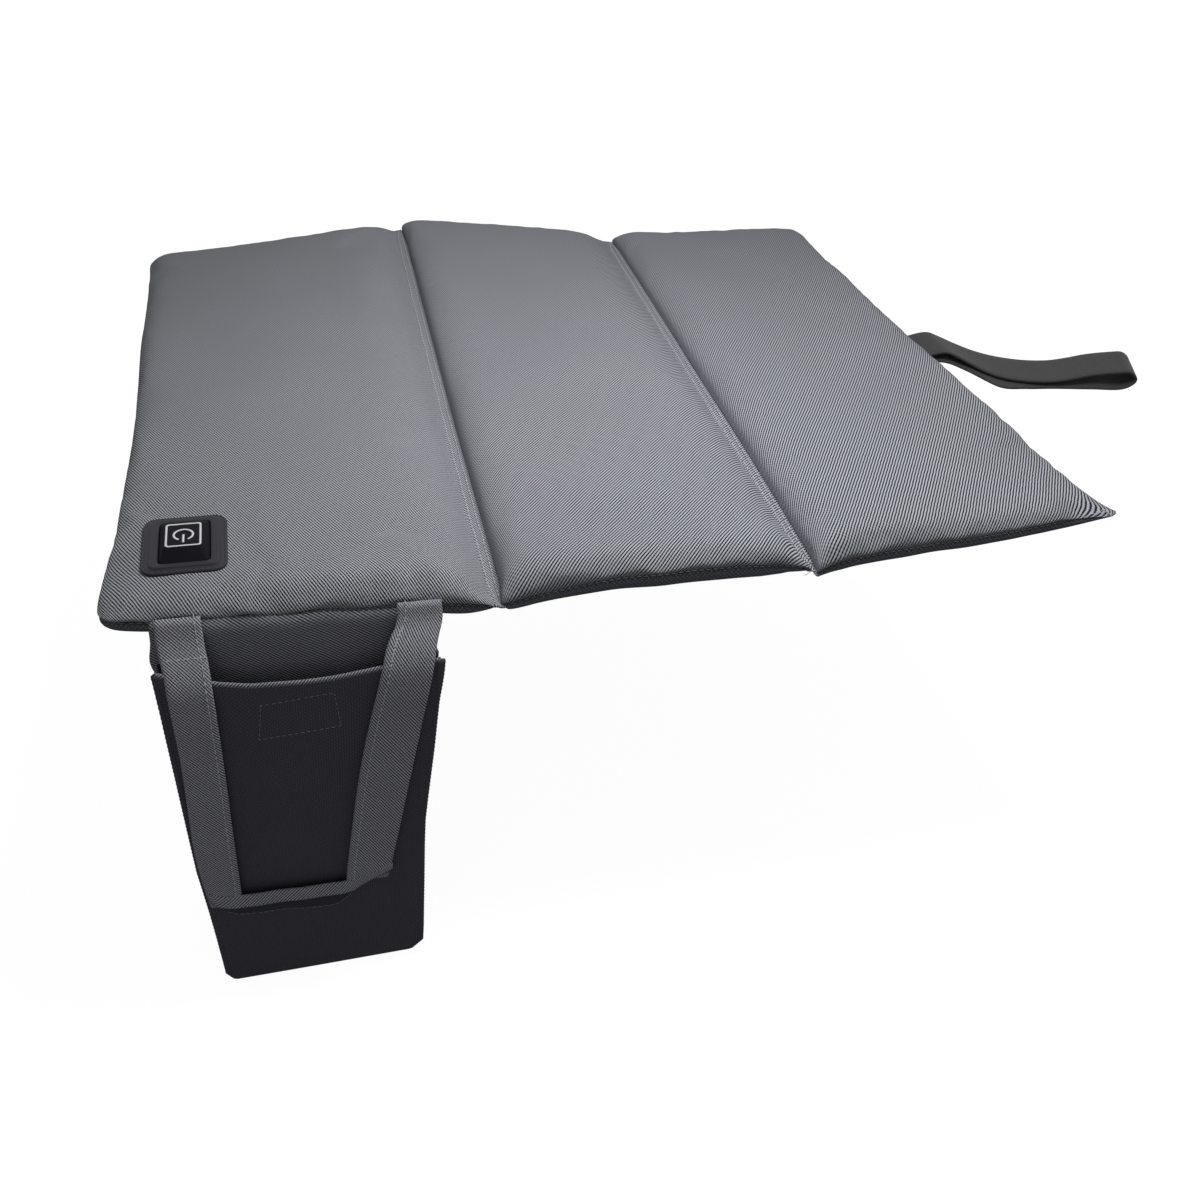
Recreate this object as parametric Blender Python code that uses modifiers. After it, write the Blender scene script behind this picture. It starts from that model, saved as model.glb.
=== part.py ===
"""Heated seat pad: three foam panels joined by sewn fold strips, with a power button on the left panel,
a battery pouch and a carry handle sewn into its front seam, and an elastic loop in the right-hand seam.

Metres, +Z up. The origin is the middle of the middle panel's underside, +X runs across the
panels and +Y towards the back of the seat. The pad lies on a seat, and the pouch hangs over its front edge.
"""

import math

import bmesh
import bpy
from mathutils import Vector

# Gap left between neighbouring pieces, and how near points are that are the same
CLEAR = 0.0003
WELD = 0.00003

# Pad
PAD_DEPTH = 0.350
LEFT_WIDTH = 0.141
MIDDLE_WIDTH = 0.121
RIGHT_WIDTH = 0.126
STRIP_WIDTH = 0.006
STRIP_THICKNESS = 0.0018
STRIP_END_INSET = 0.004
FOLD_GAP = 0.001

# Panel covers, measured from the underside
COVER_CLOTH = 0.0008
SEAM_HEIGHT = 0.0052
WEB_HEIGHT = 0.0026
SEAM_RISE_LENGTH = 0.055
RIM_HEIGHT = 0.0105
SHOULDER_HEIGHT = 0.0128
CROWN_HEIGHT = 0.0136
RIM_INSET = 0.003
SHOULDER_INSET = 0.010
FOLD_RIM_INSET = 0.0045
FOLD_SHOULDER_INSET = 0.014
SEAM_SPLIT = 0.0006
FOLD_LIP_DROP = 0.0003
CORNER_CUT = 0.0022
CORNER_EAR = 0.004
DRAW_IN = 0.0008
ACROSS_SHARES = (0.5,)
ALONG_SHARES = (0.22, 0.5, 0.78)

# Filling, from the underside up
FOAM_THICKNESS = 0.0072
FOAM_INSET = 0.009
FOAM_EDGE = 0.0025
CARRIER_THICKNESS = 0.0005
CARRIER_INSET = 0.014
CARRIER_CORNER = 0.006
WIRE_RADIUS = 0.0006
WIRE_PITCH = 0.014
WIRE_INSET = 0.007
WIRE_TURN_STEPS = 4

# Power button, placed from the pad's front left corner
SWITCH_FROM_LEFT = 0.029
SWITCH_FROM_FRONT = 0.0375
FLANGE_WIDTH = 0.0295
FLANGE_DEPTH = 0.0375
FLANGE_THICKNESS = 0.0012
FLANGE_CORNER = 0.005
STEP_WIDTH = 0.0245
STEP_DEPTH = 0.0325
STEP_RISE = 0.0008
STEP_CORNER = 0.003
CAP_WIDTH = 0.0185
CAP_DEPTH = 0.0265
CAP_TOP_WIDTH = 0.0132
CAP_TOP_DEPTH = 0.0165
CAP_HEIGHT = 0.0046
CAP_WALL = 0.0013
CAP_ROUND = 0.0009
CAP_CLEAR = 0.0004
CAP_CORNER = 0.0016
CAP_TRAVEL = 0.0008
PIP_RADIUS = 0.002
TRAY_WIDTH = 0.0210
TRAY_DEPTH = 0.0300
TRAY_HEIGHT = 0.0064
TRAY_WALL = 0.0008
TRAY_CORNER = 0.002
BOARD_THICKNESS = 0.001
TACT_SIZE = 0.006
TACT_HEIGHT = 0.003
TACT_BORE_RADIUS = 0.0020
TACT_BORE_DEPTH = 0.0016
PLUNGER_RADIUS = 0.0017
LED_WIDTH = 0.0032
LED_DEPTH = 0.0028
LED_HEIGHT = 0.0019
LED_FROM_CENTRE = 0.009
SMALL_ROUND = 0.0003
SWITCH_LEAD_RADIUS = 0.001
HEATER_LEAD_RADIUS = 0.0008
LEAD_SEAM_INSET = 0.0032
LEAD_BEND = 0.009
HEAT_ZONE_FROM_SWITCH = 0.034

# Battery pouch, hanging from the front seam
POUCH_FROM_LEFT = 0.067
POUCH_WIDTH = 0.103
POUCH_FOOT_WIDTH = 0.085
POUCH_DROP = 0.185
MOUTH_DROP = 0.016
MOUTH_SAG = 0.0055
MOUTH_DEPTH = 0.0095
FOOT_DEPTH = 0.009
FRONT_BOW = 0.0015
PANEL_CLOTH = 0.0012
GUSSET_CLOTH = 0.001
POUCH_CORNER = 0.005
PATCH_WIDTH = 0.029
PATCH_HEIGHT = 0.018
PATCH_THICKNESS = 0.001
PATCH_CORNER = 0.001
PATCH_DROP = 0.0385
PATCH_BOW_SHARE = 0.8
EYELET_RADIUS = 0.006
EYELET_BORE_RADIUS = 0.0028
EYELET_NECK_RADIUS = 0.004
EYELET_FLANGE = 0.001
EYELET_FROM_CENTRE = 0.030
EYELET_DROP = 0.046

# Carry handle, a folded strip of cloth that hangs in front of the pouch
HANDLE_CLOTH = 0.0026
GRIP_CLOTH = 0.0042
LEG_WIDTH = 0.0175
LEG_EDGE_INSET = 0.0018
LEG_SLOPE_SHARE = 1 / 3
GRIP_DROP = 0.1245
GRIP_HEIGHT = 0.0145
GRIP_LEFT_REACH = 0.0465
GRIP_RIGHT_REACH = 0.028
LEFT_FOLD_WIDTH = 0.0135
RIGHT_FOLD_WIDTH = 0.0175
GRIP_CORNER = 0.008
GRIP_OUTER_TURN_SHARE = 1 / 3
GRIP_INNER_TURN_SHARE = 1 / 4

# Elastic loop in the right-hand seam
LOOP_FROM_BACK = 0.172
LOOP_WIDTH = 0.025
LOOP_REACH = 0.100
LOOP_THICKNESS = 0.0014
LOOP_SKEW = math.radians(-21.5)
LOOP_STRAY = 0.006
LOOP_STRAY_SHARE = 0.5
LOOP_TIP_HEIGHT = 0.0086
LOOP_HUMP_HEIGHT = 0.0036
LOOP_HUMP_RISE_SHARE = 2 / 3
LOOP_HUMP_SHARE = 0.10
LOOP_LANDING_SHARE = 0.28
LOOP_LIFT_SHARE = 0.62
LOOP_LAYER_GAP = 0.0006
LOOP_TURN_STEPS = 6

# Counts
CORNER_STEPS = 4
ROUND_SIDES = 20
BEVEL_STEPS = 2
LEAD_STEPS = 5

# Colours of the cloth, foam, rubber and metal
LOOKS = {
    "grey_cloth": ((0.150, 0.160, 0.185), 0.85, 0.0),
    "dark_cloth": ((0.018, 0.018, 0.024), 0.85, 0.0),
    "handle_cloth": ((0.070, 0.070, 0.085), 0.85, 0.0),
    "foam": ((0.750, 0.720, 0.600), 0.95, 0.0),
    "carrier_felt": ((0.800, 0.800, 0.800), 0.95, 0.0),
    "heating_wire": ((0.450, 0.080, 0.050), 0.50, 0.0),
    "black_rubber": ((0.022, 0.022, 0.024), 0.55, 0.0),
    "black_plastic": ((0.030, 0.030, 0.032), 0.40, 0.0),
    "circuit_board": ((0.020, 0.160, 0.060), 0.40, 0.0),
    "switch_steel": ((0.560, 0.570, 0.580), 0.35, 1.0),
    "lamp_lens": ((0.850, 0.850, 0.820), 0.20, 0.0),
    "lead_jacket": ((0.025, 0.025, 0.028), 0.45, 0.0),
    "hook_tape": ((0.030, 0.030, 0.032), 0.95, 0.0),
    "elastic_band": ((0.035, 0.035, 0.036), 0.90, 0.0),
}

# Places that follow from the sizes
MIDDLE_LEFT_X = -MIDDLE_WIDTH / 2
MIDDLE_RIGHT_X = MIDDLE_WIDTH / 2
LEFT_INNER_X = MIDDLE_LEFT_X - STRIP_WIDTH
LEFT_OUTER_X = LEFT_INNER_X - LEFT_WIDTH
RIGHT_INNER_X = MIDDLE_RIGHT_X + STRIP_WIDTH
RIGHT_OUTER_X = RIGHT_INNER_X + RIGHT_WIDTH
FRONT_Y = -PAD_DEPTH / 2
BACK_Y = PAD_DEPTH / 2

FOAM_BASE = COVER_CLOTH + CLEAR
CARRIER_BASE = FOAM_BASE + FOAM_THICKNESS + CLEAR
WIRE_HEIGHT = CARRIER_BASE + CARRIER_THICKNESS + CLEAR + WIRE_RADIUS

SWITCH_X = LEFT_OUTER_X + SWITCH_FROM_LEFT
SWITCH_Y = FRONT_Y + SWITCH_FROM_FRONT
FLANGE_BASE = CROWN_HEIGHT + CLEAR
TRAY_TOP = FLANGE_BASE - CLEAR
TRAY_BASE = TRAY_TOP - TRAY_HEIGHT
BOARD_BASE = TRAY_BASE + TRAY_WALL + CLEAR
TACT_BASE = BOARD_BASE + BOARD_THICKNESS + CLEAR
TACT_TOP = TACT_BASE + TACT_HEIGHT
CAP_BASE = FLANGE_BASE + CAP_TRAVEL
SWITCH_LEAD_HEIGHT = CARRIER_BASE + SWITCH_LEAD_RADIUS
HEATER_LEAD_HEIGHT = CARRIER_BASE + CARRIER_THICKNESS + CLEAR + HEATER_LEAD_RADIUS
HEAT_ZONE_Y = SWITCH_Y + HEAT_ZONE_FROM_SWITCH

POUCH_X = LEFT_OUTER_X + POUCH_FROM_LEFT
POUCH_TOP = SEAM_HEIGHT
POUCH_FOOT = POUCH_TOP - POUCH_DROP
MOUTH_HEIGHT = POUCH_TOP - MOUTH_DROP
BACK_PANEL_Y = FRONT_Y - CLEAR - PANEL_CLOTH / 2
POCKET_Y = BACK_PANEL_Y - PANEL_CLOTH / 2 - CLEAR
POCKET_SLOPE = math.atan((MOUTH_DEPTH - FOOT_DEPTH) / (MOUTH_HEIGHT - POUCH_FOOT))

HANDLE_ROOT_Y = POCKET_Y - HANDLE_CLOTH / 2
HANDLE_HANG_Y = (
    POCKET_Y - max(MOUTH_DEPTH, FOOT_DEPTH) - CLEAR - PANEL_CLOTH - FRONT_BOW - CLEAR - GRIP_CLOTH / 2
)
LEG_SPREAD = (POUCH_WIDTH - LEG_WIDTH) / 2 - LEG_EDGE_INSET

LOOP_ROOT_X = RIGHT_OUTER_X + CLEAR
LOOP_ROOT_TOP = SEAM_HEIGHT + LOOP_LAYER_GAP / 2 + LOOP_THICKNESS
LOOP_Y = BACK_Y - LOOP_FROM_BACK


# Scene, collections and materials

for leftover in list(bpy.data.objects):
    bpy.data.objects.remove(leftover, do_unlink=True)

parts = bpy.data.collections.new("heated_seat_pad")
helpers = bpy.data.collections.new("cutters")
bpy.context.scene.collection.children.link(parts)
bpy.context.scene.collection.children.link(helpers)

axis_places = {}


def material(name):
    """The named material, with its colour, roughness and metallic value."""
    if name in bpy.data.materials:
        return bpy.data.materials[name]
    colour, roughness, metallic = LOOKS[name]
    made = bpy.data.materials.new(name)
    made.use_nodes = True
    shader = made.node_tree.nodes["Principled BSDF"]
    shader.inputs["Base Color"].default_value = (*colour, 1)
    shader.inputs["Roughness"].default_value = roughness
    shader.inputs["Metallic"].default_value = metallic
    made.diffuse_color = (*colour, 1)
    return made


def axis_empty(name, place, parent=None):
    """An empty on a joint's axis, which carries the pieces that turn or slide there."""
    empty = bpy.data.objects.new(name, None)
    parts.objects.link(empty)
    axis_places[name] = Vector(place)
    empty.parent = parent
    empty.location = axis_places[name] - (axis_places[parent.name] if parent else Vector())
    return empty


def place_piece(obj, carrier, place):
    """Puts an object's origin at a place in the pad's frame, carried by an empty."""
    obj.parent = carrier
    obj.location = Vector(place) - axis_places[carrier.name]


def add_piece(data, name, look, carrier, place):
    """A piece of the product, as an object of its own."""
    obj = bpy.data.objects.new(name, data)
    parts.objects.link(obj)
    data.materials.clear()
    data.materials.append(material(look))
    place_piece(obj, carrier, place)
    return obj


def add_helper(data, name, carrier, place):
    """A cutter, or a shape that is joined to a piece, left out of renders."""
    obj = bpy.data.objects.new(name, data)
    helpers.objects.link(obj)
    obj.hide_render = True
    obj.display_type = "WIRE"
    place_piece(obj, carrier, place)
    return obj


def combine(target, other, operation):
    """A Boolean between a piece and a helper."""
    boolean = target.modifiers.new(other.name, "BOOLEAN")
    boolean.operation = operation
    boolean.object = other


def add_bevel(obj, width):
    """Rounds a piece's edges."""
    bevel = obj.modifiers.new("rounded_edges", "BEVEL")
    bevel.width = width
    bevel.segments = BEVEL_STEPS
    bevel.limit_method = "ANGLE"


def add_thickness(obj, thickness, offset):
    """Gives an open surface its cloth's thickness."""
    solid = obj.modifiers.new("cloth", "SOLIDIFY")
    solid.thickness = thickness
    solid.offset = offset
    solid.use_even_offset = True
    return solid


def add_smoothing(obj):
    """Rounds a coarse cage, its border too."""
    smooth = obj.modifiers.new("soft_form", "SUBSURF")
    smooth.levels = 1
    smooth.render_levels = 1
    smooth.boundary_smooth = "ALL"


# Outlines and shapes that several pieces share


def eased(share):
    """A share from 0 to 1 that starts and ends level."""
    return share * share * (3 - 2 * share)


def rounded(corners, radius, closed=True):
    """The outline through these corners, with an arc at each. An open line keeps its two ends."""
    outline = []
    count = len(corners)
    for index, corner in enumerate(corners):
        corner = Vector(corner)
        if not closed and index in (0, count - 1):
            outline.append(corner)
            continue
        before = (Vector(corners[index - 1]) - corner).normalized()
        after = (Vector(corners[(index + 1) % count]) - corner).normalized()
        half = before.angle(after) / 2
        centre = corner + (before + after).normalized() * (radius / math.sin(half))
        start = corner + before * (radius / math.tan(half)) - centre
        sweep = math.copysign(math.pi - 2 * half, after.cross(before))
        for step in range(CORNER_STEPS + 1):
            angle = math.atan2(start.y, start.x) + sweep * step / CORNER_STEPS
            outline.append(centre + Vector((math.cos(angle), math.sin(angle))) * radius)
    return outline


def rectangle(width, depth):
    """The corners of a rectangle centred on zero, anticlockwise."""
    return [
        (width / 2, depth / 2),
        (-width / 2, depth / 2),
        (-width / 2, -depth / 2),
        (width / 2, -depth / 2),
    ]


def plate_mesh(name, outline, thickness):
    """A flat plate with this outline, centred on its own origin, as a closed mesh."""
    curve = bpy.data.curves.new(name, "CURVE")
    curve.dimensions = "2D"
    curve.fill_mode = "BOTH"
    curve.extrude = thickness / 2
    spline = curve.splines.new("POLY")
    spline.points.add(len(outline) - 1)
    for point, place in zip(spline.points, outline):
        point.co = (*place, 0, 1)
    spline.use_cyclic_u = True
    return closed_mesh(curve, name)


def closed_mesh(curve, name):
    """The mesh of a curve, with its caps welded on."""
    holder = bpy.data.objects.new(name, curve)
    bpy.context.scene.collection.objects.link(holder)
    graph = bpy.context.evaluated_depsgraph_get()
    mesh = bpy.data.meshes.new_from_object(holder.evaluated_get(graph))
    bpy.data.objects.remove(holder)
    bpy.data.curves.remove(curve)
    mesh.name = name
    shape = bmesh.new()
    shape.from_mesh(mesh)
    bmesh.ops.remove_doubles(shape, verts=shape.verts, dist=WELD)
    bmesh.ops.recalc_face_normals(shape, faces=shape.faces)
    shape.to_mesh(mesh)
    shape.free()
    return mesh


def block_mesh(name, width, depth, height, top_width=None, top_depth=None):
    """A block that stands on its own origin. Its top can be smaller than its foot."""
    shape = bmesh.new()
    bmesh.ops.create_cube(shape, size=1)
    for vertex in shape.verts:
        upper = vertex.co.z > 0
        vertex.co.x *= top_width if upper and top_width else width
        vertex.co.y *= top_depth if upper and top_depth else depth
        vertex.co.z = height if upper else 0
    mesh = bpy.data.meshes.new(name)
    shape.to_mesh(mesh)
    shape.free()
    return mesh


def cylinder_mesh(name, radius, height):
    """A round bar that stands on its own origin."""
    shape = bmesh.new()
    bmesh.ops.create_cone(
        shape, cap_ends=True, segments=ROUND_SIDES, radius1=radius, radius2=radius, depth=height
    )
    bmesh.ops.translate(shape, verts=shape.verts, vec=(0, 0, height / 2))
    mesh = bpy.data.meshes.new(name)
    shape.to_mesh(mesh)
    shape.free()
    return mesh


def sheet_mesh(name, columns, rows, position, face_down=False):
    """An open sheet of cells. position gives a vertex's place from its column and row numbers."""
    shape = bmesh.new()
    bmesh.ops.create_grid(shape, x_segments=columns, y_segments=rows, size=1)
    for vertex in shape.verts:
        column = round((vertex.co.x + 1) / 2 * columns)
        row = round((vertex.co.y + 1) / 2 * rows)
        vertex.co = position(column, row)
    if face_down:
        bmesh.ops.reverse_faces(shape, faces=shape.faces)
    mesh = bpy.data.meshes.new(name)
    shape.to_mesh(mesh)
    shape.free()
    return mesh


def tube(name, points, radius, look, carrier):
    """A wire or a lead along these points, which are places in the pad's frame."""
    curve = bpy.data.curves.new(name, "CURVE")
    curve.dimensions = "3D"
    curve.bevel_depth = radius
    curve.bevel_resolution = 2
    curve.use_fill_caps = True
    spline = curve.splines.new("POLY")
    spline.points.add(len(points) - 1)
    origin = Vector(points[0])
    for point, place in zip(spline.points, points):
        point.co = (*(Vector(place) - origin), 1)
    return add_piece(curve, name, look, carrier, origin)


# Panels


def cage_lines(low, high, low_is_fold, high_is_fold, shares):
    """Places of a cage's lines between two edges, close together where the cloth rolls over."""
    low_insets = (FOLD_RIM_INSET, FOLD_SHOULDER_INSET) if low_is_fold else (RIM_INSET, SHOULDER_INSET)
    high_insets = (FOLD_RIM_INSET, FOLD_SHOULDER_INSET) if high_is_fold else (RIM_INSET, SHOULDER_INSET)
    lines = [low, *(low + inset for inset in low_insets)]
    lines += [low + (high - low) * share for share in shares]
    return lines + [*(high - inset for inset in reversed(high_insets)), high]


def edge_height(panel, x, is_top):
    """The height of a cover's edge: just off the seam, which sinks to the fold strip beside each fold."""
    nearest = min(abs(x - fold) for fold in panel["folds"])
    rise = eased(min(nearest / SEAM_RISE_LENGTH, 1))
    seam = WEB_HEIGHT + (SEAM_HEIGHT - WEB_HEIGHT) * rise
    return seam + SEAM_SPLIT if is_top else seam - SEAM_SPLIT - FOLD_LIP_DROP * (1 - rise)


def cover_sheet(panel, name, ring_heights, is_top):
    """One cover of a panel: a cage whose rings climb, or drop, from the seam to its middle."""
    low, high = panel["low"] + CLEAR / 2, panel["high"] - CLEAR / 2
    low_is_fold, high_is_fold = (panel[end] in panel["folds"] for end in ("low", "high"))
    across = cage_lines(low, high, low_is_fold, high_is_fold, ACROSS_SHARES)
    along = cage_lines(FRONT_Y, BACK_Y, False, False, ALONG_SHARES)
    columns, rows = len(across) - 1, len(along) - 1
    middle_x, half_width = (low + high) / 2, (high - low) / 2

    def position(column, row):
        x, y = across[column], along[row]
        ring = min(column, columns - column, row, rows - row)
        z = edge_height(panel, x, is_top) if ring == 0 else ring_heights[min(ring, len(ring_heights)) - 1]
        x_share, y_share = (x - middle_x) / half_width, y / BACK_Y
        outer_side = panel["outer_side"]
        if outer_side:
            x -= outer_side * DRAW_IN * max(x_share * outer_side, 0) * (1 - y_share**2)
        y -= DRAW_IN * y_share * (1 - x_share**2)
        if column in (0, columns) and row in (0, rows):
            is_ear = column == columns and row == 0 and panel["has_ear"]
            cut = -CORNER_EAR if is_ear else CORNER_CUT
            x -= math.copysign(cut, x_share)
            y -= math.copysign(cut, y_share)
        return x - middle_x, y, z

    return sheet_mesh(name, columns, rows, position, not is_top), (middle_x, 0, 0)


def add_covers(panel, carrier):
    """The top cover with its crown, and the flat bottom cover whose lip turns up to meet it."""
    top_name, bottom_name = f"{panel['name']}_top_cover", f"{panel['name']}_bottom_cover"
    crown = (RIM_HEIGHT, SHOULDER_HEIGHT, CROWN_HEIGHT)
    mesh, place = cover_sheet(panel, top_name, crown, True)
    top = add_piece(mesh, top_name, "grey_cloth", carrier, place)
    mesh, place = cover_sheet(panel, bottom_name, (0,), False)
    bottom = add_piece(mesh, bottom_name, "grey_cloth", carrier, place)
    for cover in (top, bottom):
        add_smoothing(cover)
        add_thickness(cover, COVER_CLOTH, -1)
        cover.data.shade_smooth()
    return top


def add_foam(panel, carrier):
    """The foam slab, cut square and a little smaller than its covers."""
    name = f"{panel['name']}_foam"
    width = panel["high"] - panel["low"] - 2 * FOAM_INSET
    mesh = block_mesh(name, width, PAD_DEPTH - 2 * FOAM_INSET, FOAM_THICKNESS)
    foam = add_piece(mesh, name, "foam", carrier, ((panel["low"] + panel["high"]) / 2, 0, FOAM_BASE))
    add_bevel(foam, FOAM_EDGE)
    return foam


def serpentine(low_x, high_x, low_y, high_y):
    """Points of a wire that runs to and fro along the depth, with a half turn at the end of each run."""
    runs = int((high_x - low_x) / WIRE_PITCH) + 1
    spacing = (high_x - low_x) / (runs - 1)
    radius = spacing / 2
    points = []
    for run in range(runs):
        x = low_x + run * spacing
        forward = run % 2 == 0
        start_y, end_y = (low_y + radius, high_y - radius) if forward else (high_y - radius, low_y + radius)
        points += [(x, start_y, WIRE_HEIGHT), (x, end_y, WIRE_HEIGHT)]
        if run == runs - 1:
            break
        for step in range(1, WIRE_TURN_STEPS):
            angle = math.pi * step / WIRE_TURN_STEPS
            bulge = radius * math.sin(angle)
            turn_y = end_y + bulge if forward else end_y - bulge
            points.append((x + radius - radius * math.cos(angle), turn_y, WIRE_HEIGHT))
    return points


def add_heater(panel, carrier, front_y):
    """The felt carrier on top of the foam, and the heating wire laid on it."""
    low_x, high_x = panel["low"] + CARRIER_INSET, panel["high"] - CARRIER_INSET
    back_y = BACK_Y - CARRIER_INSET
    name = f"{panel['name']}_heat_carrier"
    outline = rounded(rectangle(high_x - low_x, back_y - front_y), CARRIER_CORNER)
    place = ((low_x + high_x) / 2, (front_y + back_y) / 2, CARRIER_BASE + CARRIER_THICKNESS / 2)
    add_piece(plate_mesh(name, outline, CARRIER_THICKNESS), name, "carrier_felt", carrier, place)
    route = serpentine(low_x + WIRE_INSET, high_x - WIRE_INSET, front_y + WIRE_INSET, back_y - WIRE_INSET)
    tube(f"{panel['name']}_heating_wire", route, WIRE_RADIUS, "heating_wire", carrier)
    return route[0]


def add_fold_strip(name, low_x, high_x, carrier):
    """The two covers sewn flat onto each other between two panels."""
    width = high_x - low_x - CLEAR
    mesh = block_mesh(name, width, PAD_DEPTH - 2 * STRIP_END_INSET, STRIP_THICKNESS)
    place = ((low_x + high_x) / 2, 0, WEB_HEIGHT - STRIP_THICKNESS / 2)
    add_piece(mesh, name, "grey_cloth", carrier, place)


# Power button


def cut_switch_opening(cover, foam, carrier):
    """The hole in the top cover and the pocket in the foam that take the button's tray."""
    outline = rounded(rectangle(TRAY_WIDTH + 2 * CLEAR, TRAY_DEPTH + 2 * CLEAR), TRAY_CORNER)
    depth = CROWN_HEIGHT + FOAM_THICKNESS
    mesh = plate_mesh("tray_opening", outline, depth)
    cutter = add_helper(mesh, "tray_opening", carrier, (SWITCH_X, SWITCH_Y, TRAY_BASE - CLEAR + depth / 2))
    combine(cover, cutter, "DIFFERENCE")
    combine(foam, cutter, "DIFFERENCE")


def add_bezel(carrier):
    """The moulded rubber frame: a sewn-down flange with a low step round the cap's opening."""
    centre = (SWITCH_X, SWITCH_Y)
    flange = rounded(rectangle(FLANGE_WIDTH, FLANGE_DEPTH), FLANGE_CORNER)
    mesh = plate_mesh("switch_bezel", flange, FLANGE_THICKNESS)
    middle = (*centre, FLANGE_BASE + FLANGE_THICKNESS / 2)
    bezel = add_piece(mesh, "switch_bezel", "black_rubber", carrier, middle)
    step_thickness = FLANGE_THICKNESS + STEP_RISE - CLEAR
    step = rounded(rectangle(STEP_WIDTH, STEP_DEPTH), STEP_CORNER)
    mesh = plate_mesh("bezel_step", step, step_thickness)
    raised = add_helper(mesh, "bezel_step", carrier, (*centre, FLANGE_BASE + CLEAR + step_thickness / 2))
    combine(bezel, raised, "UNION")
    hole = rounded(rectangle(CAP_WIDTH + 2 * CAP_CLEAR, CAP_DEPTH + 2 * CAP_CLEAR), CAP_CORNER)
    mesh = plate_mesh("cap_opening", hole, CAP_HEIGHT)
    cutter = add_helper(mesh, "cap_opening", carrier, middle)
    combine(bezel, cutter, "DIFFERENCE")


def add_cap(carrier):
    """The key: a hollow truncated pyramid with a pip inside that pushes the switch's plunger."""
    centre = (SWITCH_X, SWITCH_Y)
    mesh = block_mesh("switch_cap", CAP_WIDTH, CAP_DEPTH, CAP_HEIGHT, CAP_TOP_WIDTH, CAP_TOP_DEPTH)
    cap = add_piece(mesh, "switch_cap", "black_rubber", carrier, (*centre, CAP_BASE))
    add_bevel(cap, CAP_ROUND)
    inner_height = CAP_HEIGHT - CAP_WALL
    mesh = block_mesh(
        "cap_hollow",
        CAP_WIDTH - 2 * CAP_WALL,
        CAP_DEPTH - 2 * CAP_WALL,
        inner_height + CLEAR,
        CAP_TOP_WIDTH - CAP_WALL,
        CAP_TOP_DEPTH - CAP_WALL,
    )
    combine(cap, add_helper(mesh, "cap_hollow", carrier, (*centre, CAP_BASE - CLEAR)), "DIFFERENCE")
    mesh = cylinder_mesh("cap_pip", PIP_RADIUS, inner_height + CAP_WALL / 2)
    combine(cap, add_helper(mesh, "cap_pip", carrier, (*centre, CAP_BASE)), "UNION")

    plunger_base = TACT_TOP - TACT_BORE_DEPTH + CAP_TRAVEL + CLEAR
    mesh = cylinder_mesh("switch_plunger", PLUNGER_RADIUS, CAP_BASE - CLEAR - plunger_base)
    add_piece(mesh, "switch_plunger", "black_plastic", carrier, (*centre, plunger_base))


def add_switch_tray(carrier):
    """The open tray under the button, with its board, push switch and lamp."""
    centre = (SWITCH_X, SWITCH_Y)
    outline = rounded(rectangle(TRAY_WIDTH, TRAY_DEPTH), TRAY_CORNER)
    mesh = plate_mesh("switch_tray", outline, TRAY_HEIGHT)
    tray = add_piece(mesh, "switch_tray", "black_plastic", carrier, (*centre, TRAY_BASE + TRAY_HEIGHT / 2))
    inner_corner = TRAY_CORNER - TRAY_WALL
    inside = rounded(rectangle(TRAY_WIDTH - 2 * TRAY_WALL, TRAY_DEPTH - 2 * TRAY_WALL), inner_corner)
    mesh = plate_mesh("tray_hollow", inside, TRAY_HEIGHT)
    cutter = add_helper(mesh, "tray_hollow", carrier, (*centre, TRAY_BASE + TRAY_WALL + TRAY_HEIGHT / 2))
    combine(tray, cutter, "DIFFERENCE")

    board_inset = 2 * (TRAY_WALL + CLEAR)
    outline = rounded(rectangle(TRAY_WIDTH - board_inset, TRAY_DEPTH - board_inset), inner_corner)
    mesh = plate_mesh("switch_board", outline, BOARD_THICKNESS)
    add_piece(mesh, "switch_board", "circuit_board", carrier, (*centre, BOARD_BASE + BOARD_THICKNESS / 2))

    mesh = block_mesh("tact_switch", TACT_SIZE, TACT_SIZE, TACT_HEIGHT)
    tact = add_piece(mesh, "tact_switch", "switch_steel", carrier, (*centre, TACT_BASE))
    add_bevel(tact, SMALL_ROUND)
    mesh = cylinder_mesh("tact_bore", TACT_BORE_RADIUS, 2 * TACT_BORE_DEPTH)
    combine(tact, add_helper(mesh, "tact_bore", carrier, (*centre, TACT_TOP - TACT_BORE_DEPTH)), "DIFFERENCE")

    mesh = block_mesh("status_lamp", LED_WIDTH, LED_DEPTH, LED_HEIGHT)
    place = (SWITCH_X, SWITCH_Y + LED_FROM_CENTRE, TACT_BASE)
    lamp = add_piece(mesh, "status_lamp", "lamp_lens", carrier, place)
    add_bevel(lamp, SMALL_ROUND)


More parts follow.
